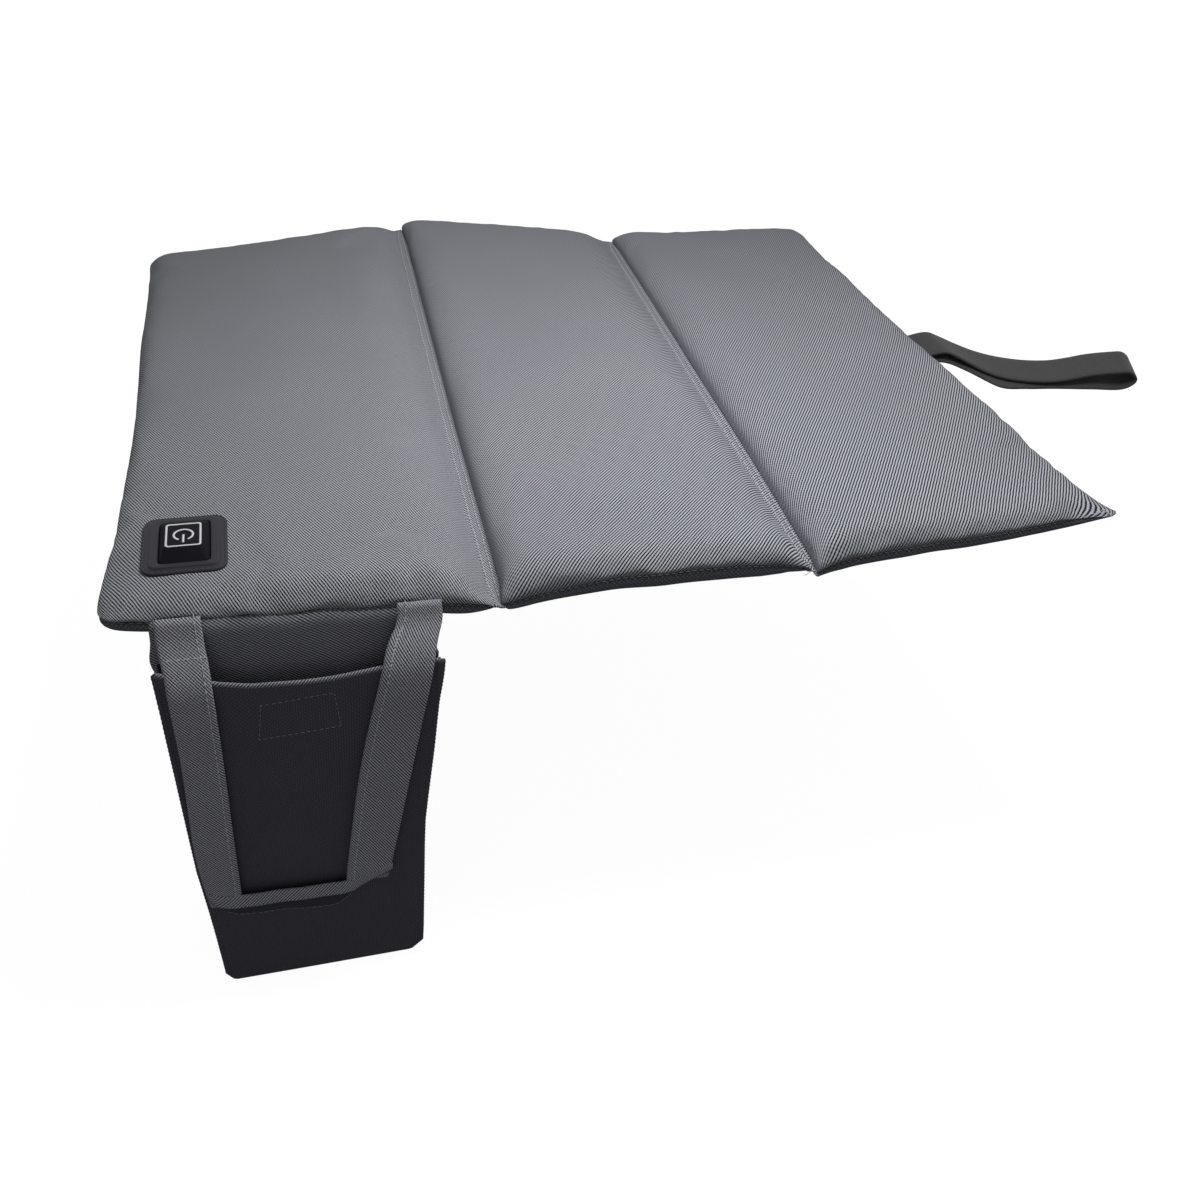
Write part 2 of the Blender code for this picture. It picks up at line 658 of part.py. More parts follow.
def add_leads(carrier, wire_start):
    """The lead from the front seam to the tray, and the one from the tray to the heating wire."""
    front_wall, back_wall = SWITCH_Y - TRAY_DEPTH / 2, SWITCH_Y + TRAY_DEPTH / 2
    seam_y = FRONT_Y + LEAD_SEAM_INSET
    points = [(SWITCH_X, front_wall - CLEAR, SWITCH_LEAD_HEIGHT)]
    for step in range(LEAD_STEPS + 1):
        share = step / LEAD_STEPS
        y = seam_y + LEAD_BEND * (1 - share)
        z = SEAM_HEIGHT + (SWITCH_LEAD_HEIGHT - SEAM_HEIGHT) * math.cos(math.pi / 2 * share)
        points.append((SWITCH_X, y, z))
    tube("switch_lead", points, SWITCH_LEAD_RADIUS, "lead_jacket", carrier)

    start = Vector((SWITCH_X, back_wall + CLEAR, HEATER_LEAD_HEIGHT))
    end = Vector(wire_start) - Vector((0, WIRE_RADIUS + CLEAR, 0))
    points = []
    for step in range(LEAD_STEPS + 1):
        share = step / LEAD_STEPS
        x, y = start.x + (end.x - start.x) * eased(share), start.y + (end.y - start.y) * share
        points.append((x, y, HEATER_LEAD_HEIGHT))
    tube("heater_lead", points, HEATER_LEAD_RADIUS, "lead_jacket", carrier)


# Battery pouch


def pouch_half_width(z):
    """Half the pouch's width: even down to the mouth, then tapering to the foot."""
    share = max((MOUTH_HEIGHT - z) / (MOUTH_HEIGHT - POUCH_FOOT), 0)
    return (POUCH_WIDTH + (POUCH_FOOT_WIDTH - POUCH_WIDTH) * share) / 2


def pocket_depth(z):
    """The pocket's depth at a height, from its mouth to its foot."""
    share = (MOUTH_HEIGHT - z) / (MOUTH_HEIGHT - POUCH_FOOT)
    return MOUTH_DEPTH + (FOOT_DEPTH - MOUTH_DEPTH) * share


def add_back_panel(carrier):
    """The stiff back of the pouch, sewn into the pad's front seam, with the hole for the lead's eyelet."""
    foot = POUCH_FOOT_WIDTH / 2
    side = POUCH_WIDTH / 2
    corners = [
        (side, POUCH_TOP),
        (-side, POUCH_TOP),
        (-side, MOUTH_HEIGHT),
        (-foot, POUCH_FOOT),
        (foot, POUCH_FOOT),
        (side, MOUTH_HEIGHT),
    ]
    lower = rounded(corners[2:], POUCH_CORNER, closed=False)
    mesh = plate_mesh("pouch_back_panel", [Vector(corner) for corner in corners[:2]] + lower, PANEL_CLOTH)
    back = add_piece(mesh, "pouch_back_panel", "dark_cloth", carrier, (POUCH_X, BACK_PANEL_Y, 0))
    back.rotation_euler.x = math.pi / 2
    eyelet_place = (POUCH_X + EYELET_FROM_CENTRE, BACK_PANEL_Y + PANEL_CLOTH, POUCH_TOP - EYELET_DROP)
    mesh = cylinder_mesh("eyelet_hole", EYELET_NECK_RADIUS + CLEAR, 2 * PANEL_CLOTH)
    cutter = add_helper(mesh, "eyelet_hole", carrier, eyelet_place)
    cutter.rotation_euler.x = math.pi / 2
    combine(back, cutter, "DIFFERENCE")


def add_gusset(carrier):
    """The strip that makes the pocket's sides and foot, in one length."""
    inset = GUSSET_CLOTH / 2
    side, foot = POUCH_WIDTH / 2 - inset, POUCH_FOOT_WIDTH / 2 - inset
    corners = [
        (-side, MOUTH_HEIGHT),
        (-foot, POUCH_FOOT + inset),
        (foot, POUCH_FOOT + inset),
        (side, MOUTH_HEIGHT),
    ]
    path = rounded(corners, POUCH_CORNER - inset, closed=False)

    def position(column, row):
        x, z = path[column]
        return x, -pocket_depth(z) * row, z

    mesh = sheet_mesh("pouch_gusset", len(path) - 1, 1, position)
    gusset = add_piece(mesh, "pouch_gusset", "dark_cloth", carrier, (POUCH_X, POCKET_Y, 0))
    add_thickness(gusset, GUSSET_CLOTH, 0)


def add_front_panel(carrier):
    """The pocket's front, bowed a little outwards, with a mouth that sags."""
    columns, rows = 4, 5

    def position(column, row):
        x_share = 2 * column / columns - 1
        z_share = 2 * row / rows - 1
        z = POUCH_FOOT + (MOUTH_HEIGHT - POUCH_FOOT) * row / rows
        y = -pocket_depth(z) - CLEAR - PANEL_CLOTH / 2
        y -= FRONT_BOW * (1 - x_share**2) * (1 - min(z_share, 0) ** 2)
        x = pouch_half_width(z) * x_share
        if row == rows:
            z -= MOUTH_SAG * (1 - x_share**2)
        if row == 0 and column in (0, columns):
            x -= math.copysign(POUCH_CORNER / 2, x)
            z += POUCH_CORNER / 2
        return x, y, z

    mesh = sheet_mesh("pouch_front_panel", columns, rows, position)
    front = add_piece(mesh, "pouch_front_panel", "dark_cloth", carrier, (POUCH_X, POCKET_Y, 0))
    add_smoothing(front)
    add_thickness(front, PANEL_CLOTH, 0)
    front.data.shade_smooth()


def add_tape_patches(carrier):
    """The hook and loop patches that face each other just inside the mouth."""
    outline = rounded(rectangle(PATCH_WIDTH, PATCH_HEIGHT), PATCH_CORNER)
    height = POUCH_TOP - PATCH_DROP
    mesh = plate_mesh("loop_tape_patch", outline, PATCH_THICKNESS)
    place = (POUCH_X, POCKET_Y - PATCH_THICKNESS / 2, height)
    loop = add_piece(mesh, "loop_tape_patch", "hook_tape", carrier, place)
    loop.rotation_euler.x = math.pi / 2
    mesh = plate_mesh("hook_tape_patch", outline, PATCH_THICKNESS)
    depth = pocket_depth(height) + FRONT_BOW * PATCH_BOW_SHARE
    place = (POUCH_X, POCKET_Y - depth + PATCH_THICKNESS / 2, height)
    hook = add_piece(mesh, "hook_tape_patch", "hook_tape", carrier, place)
    hook.rotation_euler.x = math.pi / 2 + POCKET_SLOPE


def add_eyelet(carrier):
    """The rubber eyelet in the back panel where the lead comes through, turned as one ring."""
    neck_back = 2 * CLEAR + PANEL_CLOTH
    profile = [
        (EYELET_NECK_RADIUS, -neck_back),
        (EYELET_NECK_RADIUS, 0),
        (EYELET_RADIUS, 0),
        (EYELET_RADIUS, EYELET_FLANGE),
        (EYELET_BORE_RADIUS, EYELET_FLANGE),
        (EYELET_BORE_RADIUS, -neck_back),
    ]
    shape = bmesh.new()
    ring = [shape.verts.new((radius, 0, height)) for radius, height in profile]
    for start, end in zip(ring, ring[1:] + ring[:1]):
        shape.edges.new((start, end))
    mesh = bpy.data.meshes.new("lead_eyelet")
    shape.to_mesh(mesh)
    shape.free()
    place = (POUCH_X + EYELET_FROM_CENTRE, POCKET_Y, POUCH_TOP - EYELET_DROP)
    eyelet = add_piece(mesh, "lead_eyelet", "black_rubber", carrier, place)
    eyelet.rotation_euler.x = math.pi / 2
    screw = eyelet.modifiers.new("turned", "SCREW")
    screw.steps = ROUND_SIDES
    screw.render_steps = ROUND_SIDES
    screw.use_normal_flip = True
    screw.use_normal_calculate = True


# Carry handle and elastic loop


def add_handle(carrier):
    """A folded strip of cloth: two legs from the front seam, turned in at the foot to make the grip."""
    slope, bend = POUCH_TOP - MOUTH_DROP * LEG_SLOPE_SHARE, MOUTH_HEIGHT
    outer_turn, inner_turn = GRIP_CORNER * GRIP_OUTER_TURN_SHARE, GRIP_CORNER * GRIP_INNER_TURN_SHARE
    grip_top = POUCH_TOP - GRIP_DROP
    grip_foot = grip_top - GRIP_HEIGHT
    outer, inner = LEG_SPREAD + LEG_WIDTH / 2, LEG_SPREAD - LEG_WIDTH / 2
    left, right = -GRIP_LEFT_REACH, GRIP_RIGHT_REACH
    left_inner, right_inner = left + LEFT_FOLD_WIDTH, right - RIGHT_FOLD_WIDTH
    hang, root = HANDLE_HANG_Y, HANDLE_ROOT_Y
    half_way = (root + hang) / 2
    # Each station: outer point, inner point, distance in front, share of the grip's thickness
    stations = [
        ((-outer, POUCH_TOP), (-inner, POUCH_TOP), root, 0),
        ((-outer, slope), (-inner, slope), half_way, 0),
        ((-outer, bend), (-inner, bend), hang, 0),
        ((left, grip_top + GRIP_CORNER), (left_inner, grip_top + GRIP_CORNER), hang, 0),
        ((left + outer_turn, grip_top - outer_turn), (left_inner + inner_turn, grip_top), hang, 1),
        ((left + GRIP_CORNER, grip_foot), (left_inner + GRIP_CORNER, grip_top), hang, 1),
        (((left + right) / 2, grip_foot), ((left + right) / 2, grip_top), hang, 1),
        ((right - GRIP_CORNER, grip_foot), (right_inner - GRIP_CORNER, grip_top), hang, 1),
        ((right - outer_turn, grip_top - outer_turn), (right_inner - inner_turn, grip_top), hang, 1),
        ((right, grip_top + GRIP_CORNER), (right_inner, grip_top + GRIP_CORNER), hang, 0),
        ((outer, bend), (inner, bend), hang, 0),
        ((outer, slope), (inner, slope), half_way, 0),
        ((outer, POUCH_TOP), (inner, POUCH_TOP), root, 0),
    ]

    def position(column, row):
        outside, inside, y, _ = stations[column]
        x, z = outside if row == 0 else inside
        return x, y, z

    mesh = sheet_mesh("carry_handle", len(stations) - 1, 1, position)
    handle = add_piece(mesh, "carry_handle", "handle_cloth", carrier, (POUCH_X, 0, 0))
    thick = handle.vertex_groups.new(name="grip")
    thickness_places = [(place, share) for *sides, _, share in stations for place in sides]
    for vertex in handle.data.vertices:
        _, share = min(thickness_places, key=lambda item: (Vector(item[0]) - vertex.co.xz).length)
        thick.add([vertex.index], share, "REPLACE")
    solid = add_thickness(handle, GRIP_CLOTH, 0)
    solid.vertex_group = thick.name
    solid.thickness_vertex_group = HANDLE_CLOTH / GRIP_CLOTH


def loop_path():
    """The band's middle line as (distance from the seam, height): out on the floor, round the tip, back."""
    half = LOOP_THICKNESS / 2
    floor = CLEAR + half
    root_low = SEAM_HEIGHT - half - LOOP_LAYER_GAP / 2
    root_high = SEAM_HEIGHT + half + LOOP_LAYER_GAP / 2
    layers_apart = root_high - root_low
    hump, landing = LOOP_REACH * LOOP_HUMP_SHARE, LOOP_REACH * LOOP_LANDING_SHARE
    lift = LOOP_REACH * LOOP_LIFT_SHARE
    radius = (LOOP_TIP_HEIGHT - floor) / 2
    tip = LOOP_REACH - radius
    hump_rise = LOOP_HUMP_HEIGHT * LOOP_HUMP_RISE_SHARE
    lower = [
        (0, root_low),
        (hump / 2, root_low + hump_rise),
        (hump, root_low + LOOP_HUMP_HEIGHT),
        ((hump + landing) / 2, (root_low + LOOP_HUMP_HEIGHT + floor) / 2),
        (landing, floor),
        (lift, floor),
    ]
    turn = []
    for step in range(LOOP_TURN_STEPS + 1):
        angle = math.pi * step / LOOP_TURN_STEPS - math.pi / 2
        turn.append((tip + radius * math.cos(angle), floor + radius + radius * math.sin(angle)))
    upper = [
        ((lift + tip) / 2, LOOP_TIP_HEIGHT),
        (lift, floor + (LOOP_TIP_HEIGHT - floor) * LOOP_LIFT_SHARE),
        (landing, floor + layers_apart),
        ((hump + landing) / 2, (root_low + LOOP_HUMP_HEIGHT + floor) / 2 + layers_apart),
        (hump, root_low + LOOP_HUMP_HEIGHT + layers_apart),
        (hump / 2, root_low + hump_rise + layers_apart),
        (0, root_high),
    ]
    return lower + turn + upper


def add_elastic_loop(carrier):
    """A band of elastic doubled over, both ends in the seam. It lies askew, its lower layer to the front."""
    path = loop_path()
    depth, slant = LOOP_WIDTH * math.cos(LOOP_SKEW), LOOP_WIDTH * math.sin(LOOP_SKEW)

    def position(column, row):
        out, height = path[column]
        across = row - 1 / 2
        y = math.tan(LOOP_SKEW) * out + depth * across
        if column < len(path) / 2:
            y -= LOOP_STRAY * math.sin(math.pi * min(out / (LOOP_STRAY_SHARE * LOOP_REACH), 1))
        return out - slant * across * eased(out / LOOP_REACH), y, height

    mesh = sheet_mesh("elastic_loop", len(path) - 1, 1, position)
    loop = add_piece(mesh, "elastic_loop", "elastic_band", carrier, (LOOP_ROOT_X, LOOP_Y, 0))
    add_thickness(loop, LOOP_THICKNESS, 0)


# Assembly

PANELS = {
    "left": {
        "name": "left",
        "low": LEFT_OUTER_X,
        "high": LEFT_INNER_X,
        "folds": [LEFT_INNER_X],
        "outer_side": -1,
        "has_ear": False,
    },
    "middle": {
        "name": "middle",
        "low": MIDDLE_LEFT_X,
        "high": MIDDLE_RIGHT_X,
        "folds": [MIDDLE_LEFT_X, MIDDLE_RIGHT_X],
        "outer_side": 0,
        "has_ear": False,
    },
    "right": {
        "name": "right",
        "low": RIGHT_INNER_X,
        "high": RIGHT_OUTER_X,
        "folds": [RIGHT_INNER_X],
        "outer_side": 1,
        "has_ear": True,
    },
}

seat = axis_empty("seat_rest", (0, 0, 0))
left_fold = axis_empty("left_fold_axis", (LEFT_INNER_X, 0, -FOLD_GAP / 2), seat)
right_fold = axis_empty("right_fold_axis", (RIGHT_INNER_X, 0, CROWN_HEIGHT + FOLD_GAP / 2), seat)
pouch_axis = axis_empty("pouch_axis", (POUCH_X, BACK_PANEL_Y, POUCH_TOP), left_fold)
handle_axis = axis_empty("handle_axis", (POUCH_X, HANDLE_ROOT_Y, POUCH_TOP), pouch_axis)
loop_axis = axis_empty("loop_axis", (LOOP_ROOT_X, LOOP_Y, LOOP_ROOT_TOP), right_fold)
button_axis = axis_empty("button_axis", (SWITCH_X, SWITCH_Y, CAP_BASE), left_fold)

for side, holder in (("left", left_fold), ("middle", seat), ("right", right_fold)):
    top_cover = add_covers(PANELS[side], holder)
    foam_slab = add_foam(PANELS[side], holder)
    heat_front = HEAT_ZONE_Y if side == "left" else FRONT_Y + CARRIER_INSET
    wire_end = add_heater(PANELS[side], holder, heat_front)
    if side == "left":
        cut_switch_opening(top_cover, foam_slab, holder)
        add_leads(holder, wire_end)

add_fold_strip("left_fold_strip", LEFT_INNER_X, MIDDLE_LEFT_X, seat)
add_fold_strip("right_fold_strip", MIDDLE_RIGHT_X, RIGHT_INNER_X, seat)

add_bezel(left_fold)
add_switch_tray(left_fold)
add_cap(button_axis)

add_back_panel(pouch_axis)
add_gusset(pouch_axis)
add_front_panel(pouch_axis)
add_tape_patches(pouch_axis)
add_eyelet(pouch_axis)

add_handle(handle_axis)
add_elastic_loop(loop_axis)
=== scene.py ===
import math

import bmesh
import bpy
import numpy as np
from mathutils import Matrix, Vector


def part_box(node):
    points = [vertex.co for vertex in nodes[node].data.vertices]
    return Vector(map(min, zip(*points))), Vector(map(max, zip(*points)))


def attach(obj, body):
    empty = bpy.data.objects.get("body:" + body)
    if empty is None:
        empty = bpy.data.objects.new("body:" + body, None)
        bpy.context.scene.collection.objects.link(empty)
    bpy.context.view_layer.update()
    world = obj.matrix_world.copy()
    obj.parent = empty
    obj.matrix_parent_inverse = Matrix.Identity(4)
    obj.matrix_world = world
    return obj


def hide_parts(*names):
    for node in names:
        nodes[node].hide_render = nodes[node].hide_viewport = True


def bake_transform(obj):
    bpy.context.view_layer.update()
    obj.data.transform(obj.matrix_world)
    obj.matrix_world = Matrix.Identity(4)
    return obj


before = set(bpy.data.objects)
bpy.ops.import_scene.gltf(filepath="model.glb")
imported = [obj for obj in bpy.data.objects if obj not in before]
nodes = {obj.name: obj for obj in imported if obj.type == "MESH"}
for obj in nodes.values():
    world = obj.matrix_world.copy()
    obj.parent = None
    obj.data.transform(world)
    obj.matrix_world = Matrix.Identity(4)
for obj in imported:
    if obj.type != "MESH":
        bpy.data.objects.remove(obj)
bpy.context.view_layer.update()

mm = 0.001
scene = bpy.context.scene

# Camera

camera = {
    "place": (-135.209, -566.753, 295.701),
    "turn": -15.65,
    "tip": 53.73,
    "roll": 3.66,
    "lens": 39.0,
    "sensor": 36.0,
    "nearest": 0.01,
}

cameraData = bpy.data.cameras.new("camera")
cameraData.lens = camera["lens"]
cameraData.sensor_width = camera["sensor"]
cameraData.clip_start = camera["nearest"]
cameraObject = bpy.data.objects.new("camera", cameraData)
turned = Matrix.Rotation(math.radians(camera["turn"]), 4, "Z")
turned = turned @ Matrix.Rotation(math.radians(camera["tip"]), 4, "X")
turned = turned @ Matrix.Rotation(math.radians(camera["roll"]), 4, "Z")
cameraObject.matrix_world = Matrix.Translation(Vector(camera["place"]) * mm) @ turned
scene.collection.objects.link(cameraObject)
scene.camera = cameraObject
scene.view_settings.view_transform = "Standard"
print("camera set")


# Small helpers


def toLinear(code):
    # sRGB hex to linear colour
    shares = [int(code[i : i + 2], 16) / 255 for i in (1, 3, 5)]
    return [c / 12.92 if c <= 0.04045 else ((c + 0.055) / 1.055) ** 2.4 for c in shares] + [1.0]


def addNode(tree, kind, inputs=None, **settings):
    node = tree.nodes.new(kind)
    for name, value in settings.items():
        setattr(node, name, value)
    for key, value in (inputs or {}).items():
        if isinstance(value, bpy.types.NodeSocket):
            tree.links.new(value, node.inputs[key])
        else:
            node.inputs[key].default_value = value
    return node


def shareOf(value, low, high):
    # How far a value has come from low to high, held to 0 and 1
    return np.clip((value - low) / (high - low), 0, 1)


def smooth(value, low=0.0, high=1.0):
    share = shareOf(np.asarray(value, float), low, high)
    return share * share * (3 - 2 * share)


def hump(value, reach):
    # 1 at zero, gone at about twice the reach
    return np.exp(-((value / reach) ** 2))


def runAlong(points):
    # The distance along a line of points up to each of them
    return np.concatenate([[0], np.cumsum(np.linalg.norm(np.diff(points, axis=0), axis=1))])


def ripple(along, seed, waves=(6.3, 8.9, 13.7, 23.0)):
    # An uneven wave, the same each run
    chance = np.random.default_rng(seed)
    total = 0
    for wave in waves:
        turns = 2 * np.pi * np.asarray(along, float) / wave + chance.uniform(0, 2 * np.pi)
        total = total + np.sin(turns) * chance.uniform(0.6, 1)
    return total / len(waves)


def throughPoints(keys, count):
    # A smooth run of count rows through a few key rows, evenly spaced along its length
    keys = np.array(keys, float)
    padded = np.vstack([2 * keys[0] - keys[1], keys, 2 * keys[-1] - keys[-2]])
    fine = []
    for i in range(1, len(padded) - 2):
        a, b, c, d = padded[i - 1 : i + 3]
        for t in np.linspace(0, 1, 24, endpoint=False):
            square, cube = 2 * a - 5 * b + 4 * c - d, 3 * b - a - 3 * c + d
            fine.append(0.5 * (2 * b + (c - a) * t + square * t**2 + cube * t**3))
    fine = np.array(fine + [keys[-1]])
    run = runAlong(fine[:, :3])
    at = np.linspace(0, run[-1], count)
    return np.column_stack([np.interp(at, run, fine[:, i]) for i in range(fine.shape[1])])


def makeMesh(name, points, faces, uvs=None, material=None):
    # uvs: one (u, v) a corner of each face, in metres of cloth
    data = bpy.data.meshes.new(name)
    data.from_pydata([tuple(p) for p in points], [], faces)
    if uvs is not None:
        layer = data.uv_layers.new(name="cloth")
        layer.data.foreach_set("uv", np.array(uvs, np.float32).ravel())
    data.shade_smooth()
    data.update()
    if material:
        data.materials.append(material)
    obj = bpy.data.objects.new(name, data)
    scene.collection.objects.link(obj)
    return obj


def baked(obj):
    # Modifiers into a plain mesh
    view = bpy.context.evaluated_depsgraph_get()
    shaped = obj.evaluated_get(view)
    data = bpy.data.meshes.new_from_object(shaped, preserve_all_data_layers=True, depsgraph=view)
    obj.modifiers.clear()
    obj.data = data
    return obj


def settled(obj, body, instead=()):
    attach(obj, body)
    if instead:
        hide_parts(*instead)
    return obj


def cellFaces(rows, columns, closed=False):
    # Quads of a grid of points, row by row
    faces = []
    for r in range(rows - 1):
        for c in range(columns if closed else columns - 1):
            near, far = r * columns + c, r * columns + (c + 1) % columns
            faces.append((near, far, far + columns, near + columns))
    return faces


def clothSheet(name, grid, thickness, material, faceOut=1):
    # A sheet of real thickness over a grid of points (rows, columns, 3), in mm, with a rounded rim
    grid = np.array(grid, float)
    rows, columns = grid.shape[:2]
    out = np.cross(np.gradient(grid, axis=1), np.gradient(grid, axis=0))
    out /= np.maximum(np.linalg.norm(out, axis=2, keepdims=True), 1e-9)
    u, v = runAlong(grid[rows // 2]), runAlong(grid[:, columns // 2])
    uvAt = np.stack(np.meshgrid(u, v), axis=2).reshape(-1, 2) * mm
    half = thickness / 2
    frontSide, backSide = grid + out * half * faceOut, grid - out * half * faceOut
    ring = [(0, c) for c in range(columns)] + [(r, columns - 1) for r in range(1, rows)]
    ring += [(rows - 1, c) for c in range(columns - 2, -1, -1)] + [(r, 0) for r in range(rows - 2, 0, -1)]
    rim = []
    for r, c in ring:
        inward = grid[min(max(r, 1), rows - 2), min(max(c, 1), columns - 2)] - grid[r, c]
        inward -= out[r, c] * (inward @ out[r, c])
        rim.append(grid[r, c] - inward / max(np.linalg.norm(inward), 1e-9) * half)
    size = rows * columns
    points = np.vstack([frontSide.reshape(-1, 3), backSide.reshape(-1, 3), rim]) * mm
    cells = cellFaces(rows, columns)
    faces = [f if faceOut > 0 else f[::-1] for f in cells]
    faces += [tuple(size + i for i in (f[::-1] if faceOut > 0 else f)) for f in cells]
    uvs = [uvAt[i % size] for f in faces for i in f]
    count = len(ring)
    flat = [r * columns + c for r, c in ring]
    for i in range(count):
        j = (i + 1) % count
        near, far = 2 * size + i, 2 * size + j
        own = [flat[j], flat[i], flat[i], flat[j]]
        for quad in ((flat[j], flat[i], near, far), (far, near, size + flat[i], size + flat[j])):
            faces.append(quad if faceOut > 0 else quad[::-1])
            uvs += [uvAt[k] for k in (own if faceOut > 0 else own[::-1])]
    return makeMesh(name, points, faces, uvs, material)


def bandSection(width, thickness, flats=8, turns=4):
    # A flat strap's cut: two faces and two round edges
    half, radius = width / 2, thickness / 2
    top = [(x, radius) for x in np.linspace(-half + radius, half - radius, flats)]
    angles = np.linspace(np.pi / 2, -np.pi / 2, turns + 2)[1:-1]
    right = [(half - radius + radius * math.cos(a), radius * math.sin(a)) for a in angles]
    return np.array(top + right + [(-x, -y) for x, y in top] + [(-x, -y) for x, y in right])


def clothBand(name, line, sides, widths, thickness, material, bulge=0.0):
    # A strap: its cut swept along a line of points in mm, with the strap's width along sides
    line, sides = np.array(line, float), np.array(sides, float)
    count = len(line)
    sides = sides / np.linalg.norm(sides, axis=1, keepdims=True)
    upward = np.cross(np.gradient(line, axis=0), sides)
    upward /= np.maximum(np.linalg.norm(upward, axis=1, keepdims=True), 1e-9)
    thick = np.broadcast_to(thickness, (count,))
    rings = []
    for i in range(count):
        cut = bandSection(widths[i], thick[i])
        lift = bulge * (1 - (cut[:, 0] / (widths[i] / 2)) ** 2) * np.sign(cut[:, 1])
        rings.append(line[i] + cut[:, :1] * sides[i] + (cut[:, 1:] + lift[:, None]) * upward[i])
    size = len(rings[0])
    points = np.array(rings).reshape(-1, 3) * mm
    faces = [f[::-1] for f in cellFaces(count, size, closed=True)]
    widest = int(np.argmax(widths))
    cut = bandSection(widths[widest], thick[widest])
    run, around = runAlong(line) * mm, runAlong(np.vstack([cut, cut[:1]])) * mm
    uvs = []
    for r in range(count - 1):
        for c in range(size):
            a, b, start, end = around[c], around[c + 1], run[r], run[r + 1]
            uvs += [(a, end), (b, end), (b, start), (a, start)]
    for first, at, step in ((0, run[0], 1), ((count - 1) * size, run[-1], -1)):
        faces.append(list(range(first, first + size))[::step])
        uvs += [(around[i], at) for i in range(size)]
    return makeMesh(name, points, faces, uvs, material)


# Finishes

# Noise scales: how yarns wander, worn patches, and single fibres
noises = {
    "wander": 45.0,
    "cordWander": 60.0,
    "patches": 14.0,
    "fibres": 1400.0,
    "slantedFibres": 1300.0,
    "cordFibres": 500.0,
}
# Spacings in mm: the yarns of the slanted cloth, and the weft of the elastic
yarnSpacing = 0.9
weftSpacing = 0.7
# How fast the slanted lines fade in towards the front, by place in metres
fadeIn = (0.85, -3.0, 0)


def newMaterial(name):
    made = bpy.data.materials.new(name)
    made.use_nodes = True
    tree = made.node_tree
    tree.nodes.clear()
    shader = addNode(tree, "ShaderNodeBsdfPrincipled")
    addNode(tree, "ShaderNodeOutputMaterial", {"Surface": shader.outputs["BSDF"]})
    return made, tree, shader


def worked(tree, operation, *values):
    return addNode(tree, "ShaderNodeMath", dict(enumerate(values)), operation=operation).outputs[0]


def mapped(tree, value, low, high, fromLow=0.0, fromHigh=1.0):
    ends = {"From Min": fromLow, "From Max": fromHigh, "To Min": low, "To Max": high}
    return addNode(tree, "ShaderNodeMapRange", {"Value": value, **ends}).outputs[0]


def noiseAt(tree, place, scale, detail, roughness=0.5, output="Fac"):
    inputs = {"Vector": place, "Scale": scale, "Detail": detail, "Roughness": roughness}
    return addNode(tree, "ShaderNodeTexNoise", inputs).outputs[output]


def scaledBy(tree, vector, amount):
    inputs = {0: vector, "Scale": amount}
    return addNode(tree, "ShaderNodeVectorMath", inputs, operation="SCALE").outputs["Vector"]


def dotted(tree, vector, other):
    inputs = {0: vector, 1: other}
    return addNode(tree, "ShaderNodeVectorMath", inputs, operation="DOT_PRODUCT").outputs["Value"]


def between(tree, share, dark, light):
    # A colour part of the way from one sRGB colour to another
    inputs = {0: share, 6: toLinear(dark), 7: toLinear(light)}
    return addNode(tree, "ShaderNodeMix", inputs, data_type="RGBA").outputs[2]


def wavyPlace(tree, source, size, amount):
    # Moves a pattern's coordinates a little, so that yarns wander as real ones do
    noise = noiseAt(tree, source, size, 1.0, output="Color")
    centred = addNode(tree, "ShaderNodeVectorMath", {0: noise, 1: (0.5, 0.5, 0.5)}, operation="SUBTRACT")
    moved = scaledBy(tree, centred.outputs["Vector"], amount)
    return addNode(tree, "ShaderNodeVectorMath", {0: source, 1: moved}).outputs["Vector"]


def weave(tree, place, spacing):
    # Plain weave: yarns cross over and under, so the sign of the product says which is on top
    counted = scaledBy(tree, place, math.pi / (spacing * mm))
    parts = addNode(tree, "ShaderNodeSeparateXYZ", {0: counted}).outputs
    return worked(tree, "MULTIPLY", worked(tree, "SINE", parts["X"]), worked(tree, "SINE", parts["Y"]))


def dressed(made, shader, colour, roughness, height, strength, relief, constants):
    # Colour, roughness and relief onto a shader, and its other inputs
    tree = made.node_tree
    depth = {"Height": height, "Strength": strength, "Distance": relief * mm}
    bump = addNode(tree, "ShaderNodeBump", depth).outputs["Normal"]
    for socket, source in (("Base Color", colour), ("Roughness", roughness), ("Normal", bump)):
        tree.links.new(source, shader.inputs[socket])
    for socket, value in constants.items():
        shader.inputs[socket].default_value = value
    return made


def wovenCloth(name, warp, weft, spacing, relief, roughness, sheen, gloss):
    made, tree, shader = newMaterial(name)
    place = addNode(tree, "ShaderNodeTexCoord").outputs["UV"]
    crossing = weave(tree, wavyPlace(tree, place, noises["wander"], spacing * mm * 0.35), spacing)
    height = worked(tree, "POWER", worked(tree, "ABSOLUTE", crossing), 0.6)
    yarn = between(tree, mapped(tree, crossing, 0.0, 1.0, -0.25, 0.25), weft, warp)
    patches = noiseAt(tree, place, noises["patches"], 3.0)
    fibres = noiseAt(tree, place, noises["fibres"], 1.0)
    shade = worked(tree, "MULTIPLY", mapped(tree, patches, 0.94, 1.06), mapped(tree, fibres, 0.82, 1.18))
    shade = worked(tree, "MULTIPLY", shade, mapped(tree, height, 0.62, 1.12))
    colour = scaledBy(tree, yarn, shade)
    rough = mapped(tree, fibres, roughness - 0.08, roughness + 0.08)
    constants = {"Sheen Weight": sheen, "Sheen Roughness": 0.45, "Specular IOR Level": gloss}
    return dressed(made, shader, colour, rough, height, 0.6, relief, constants)


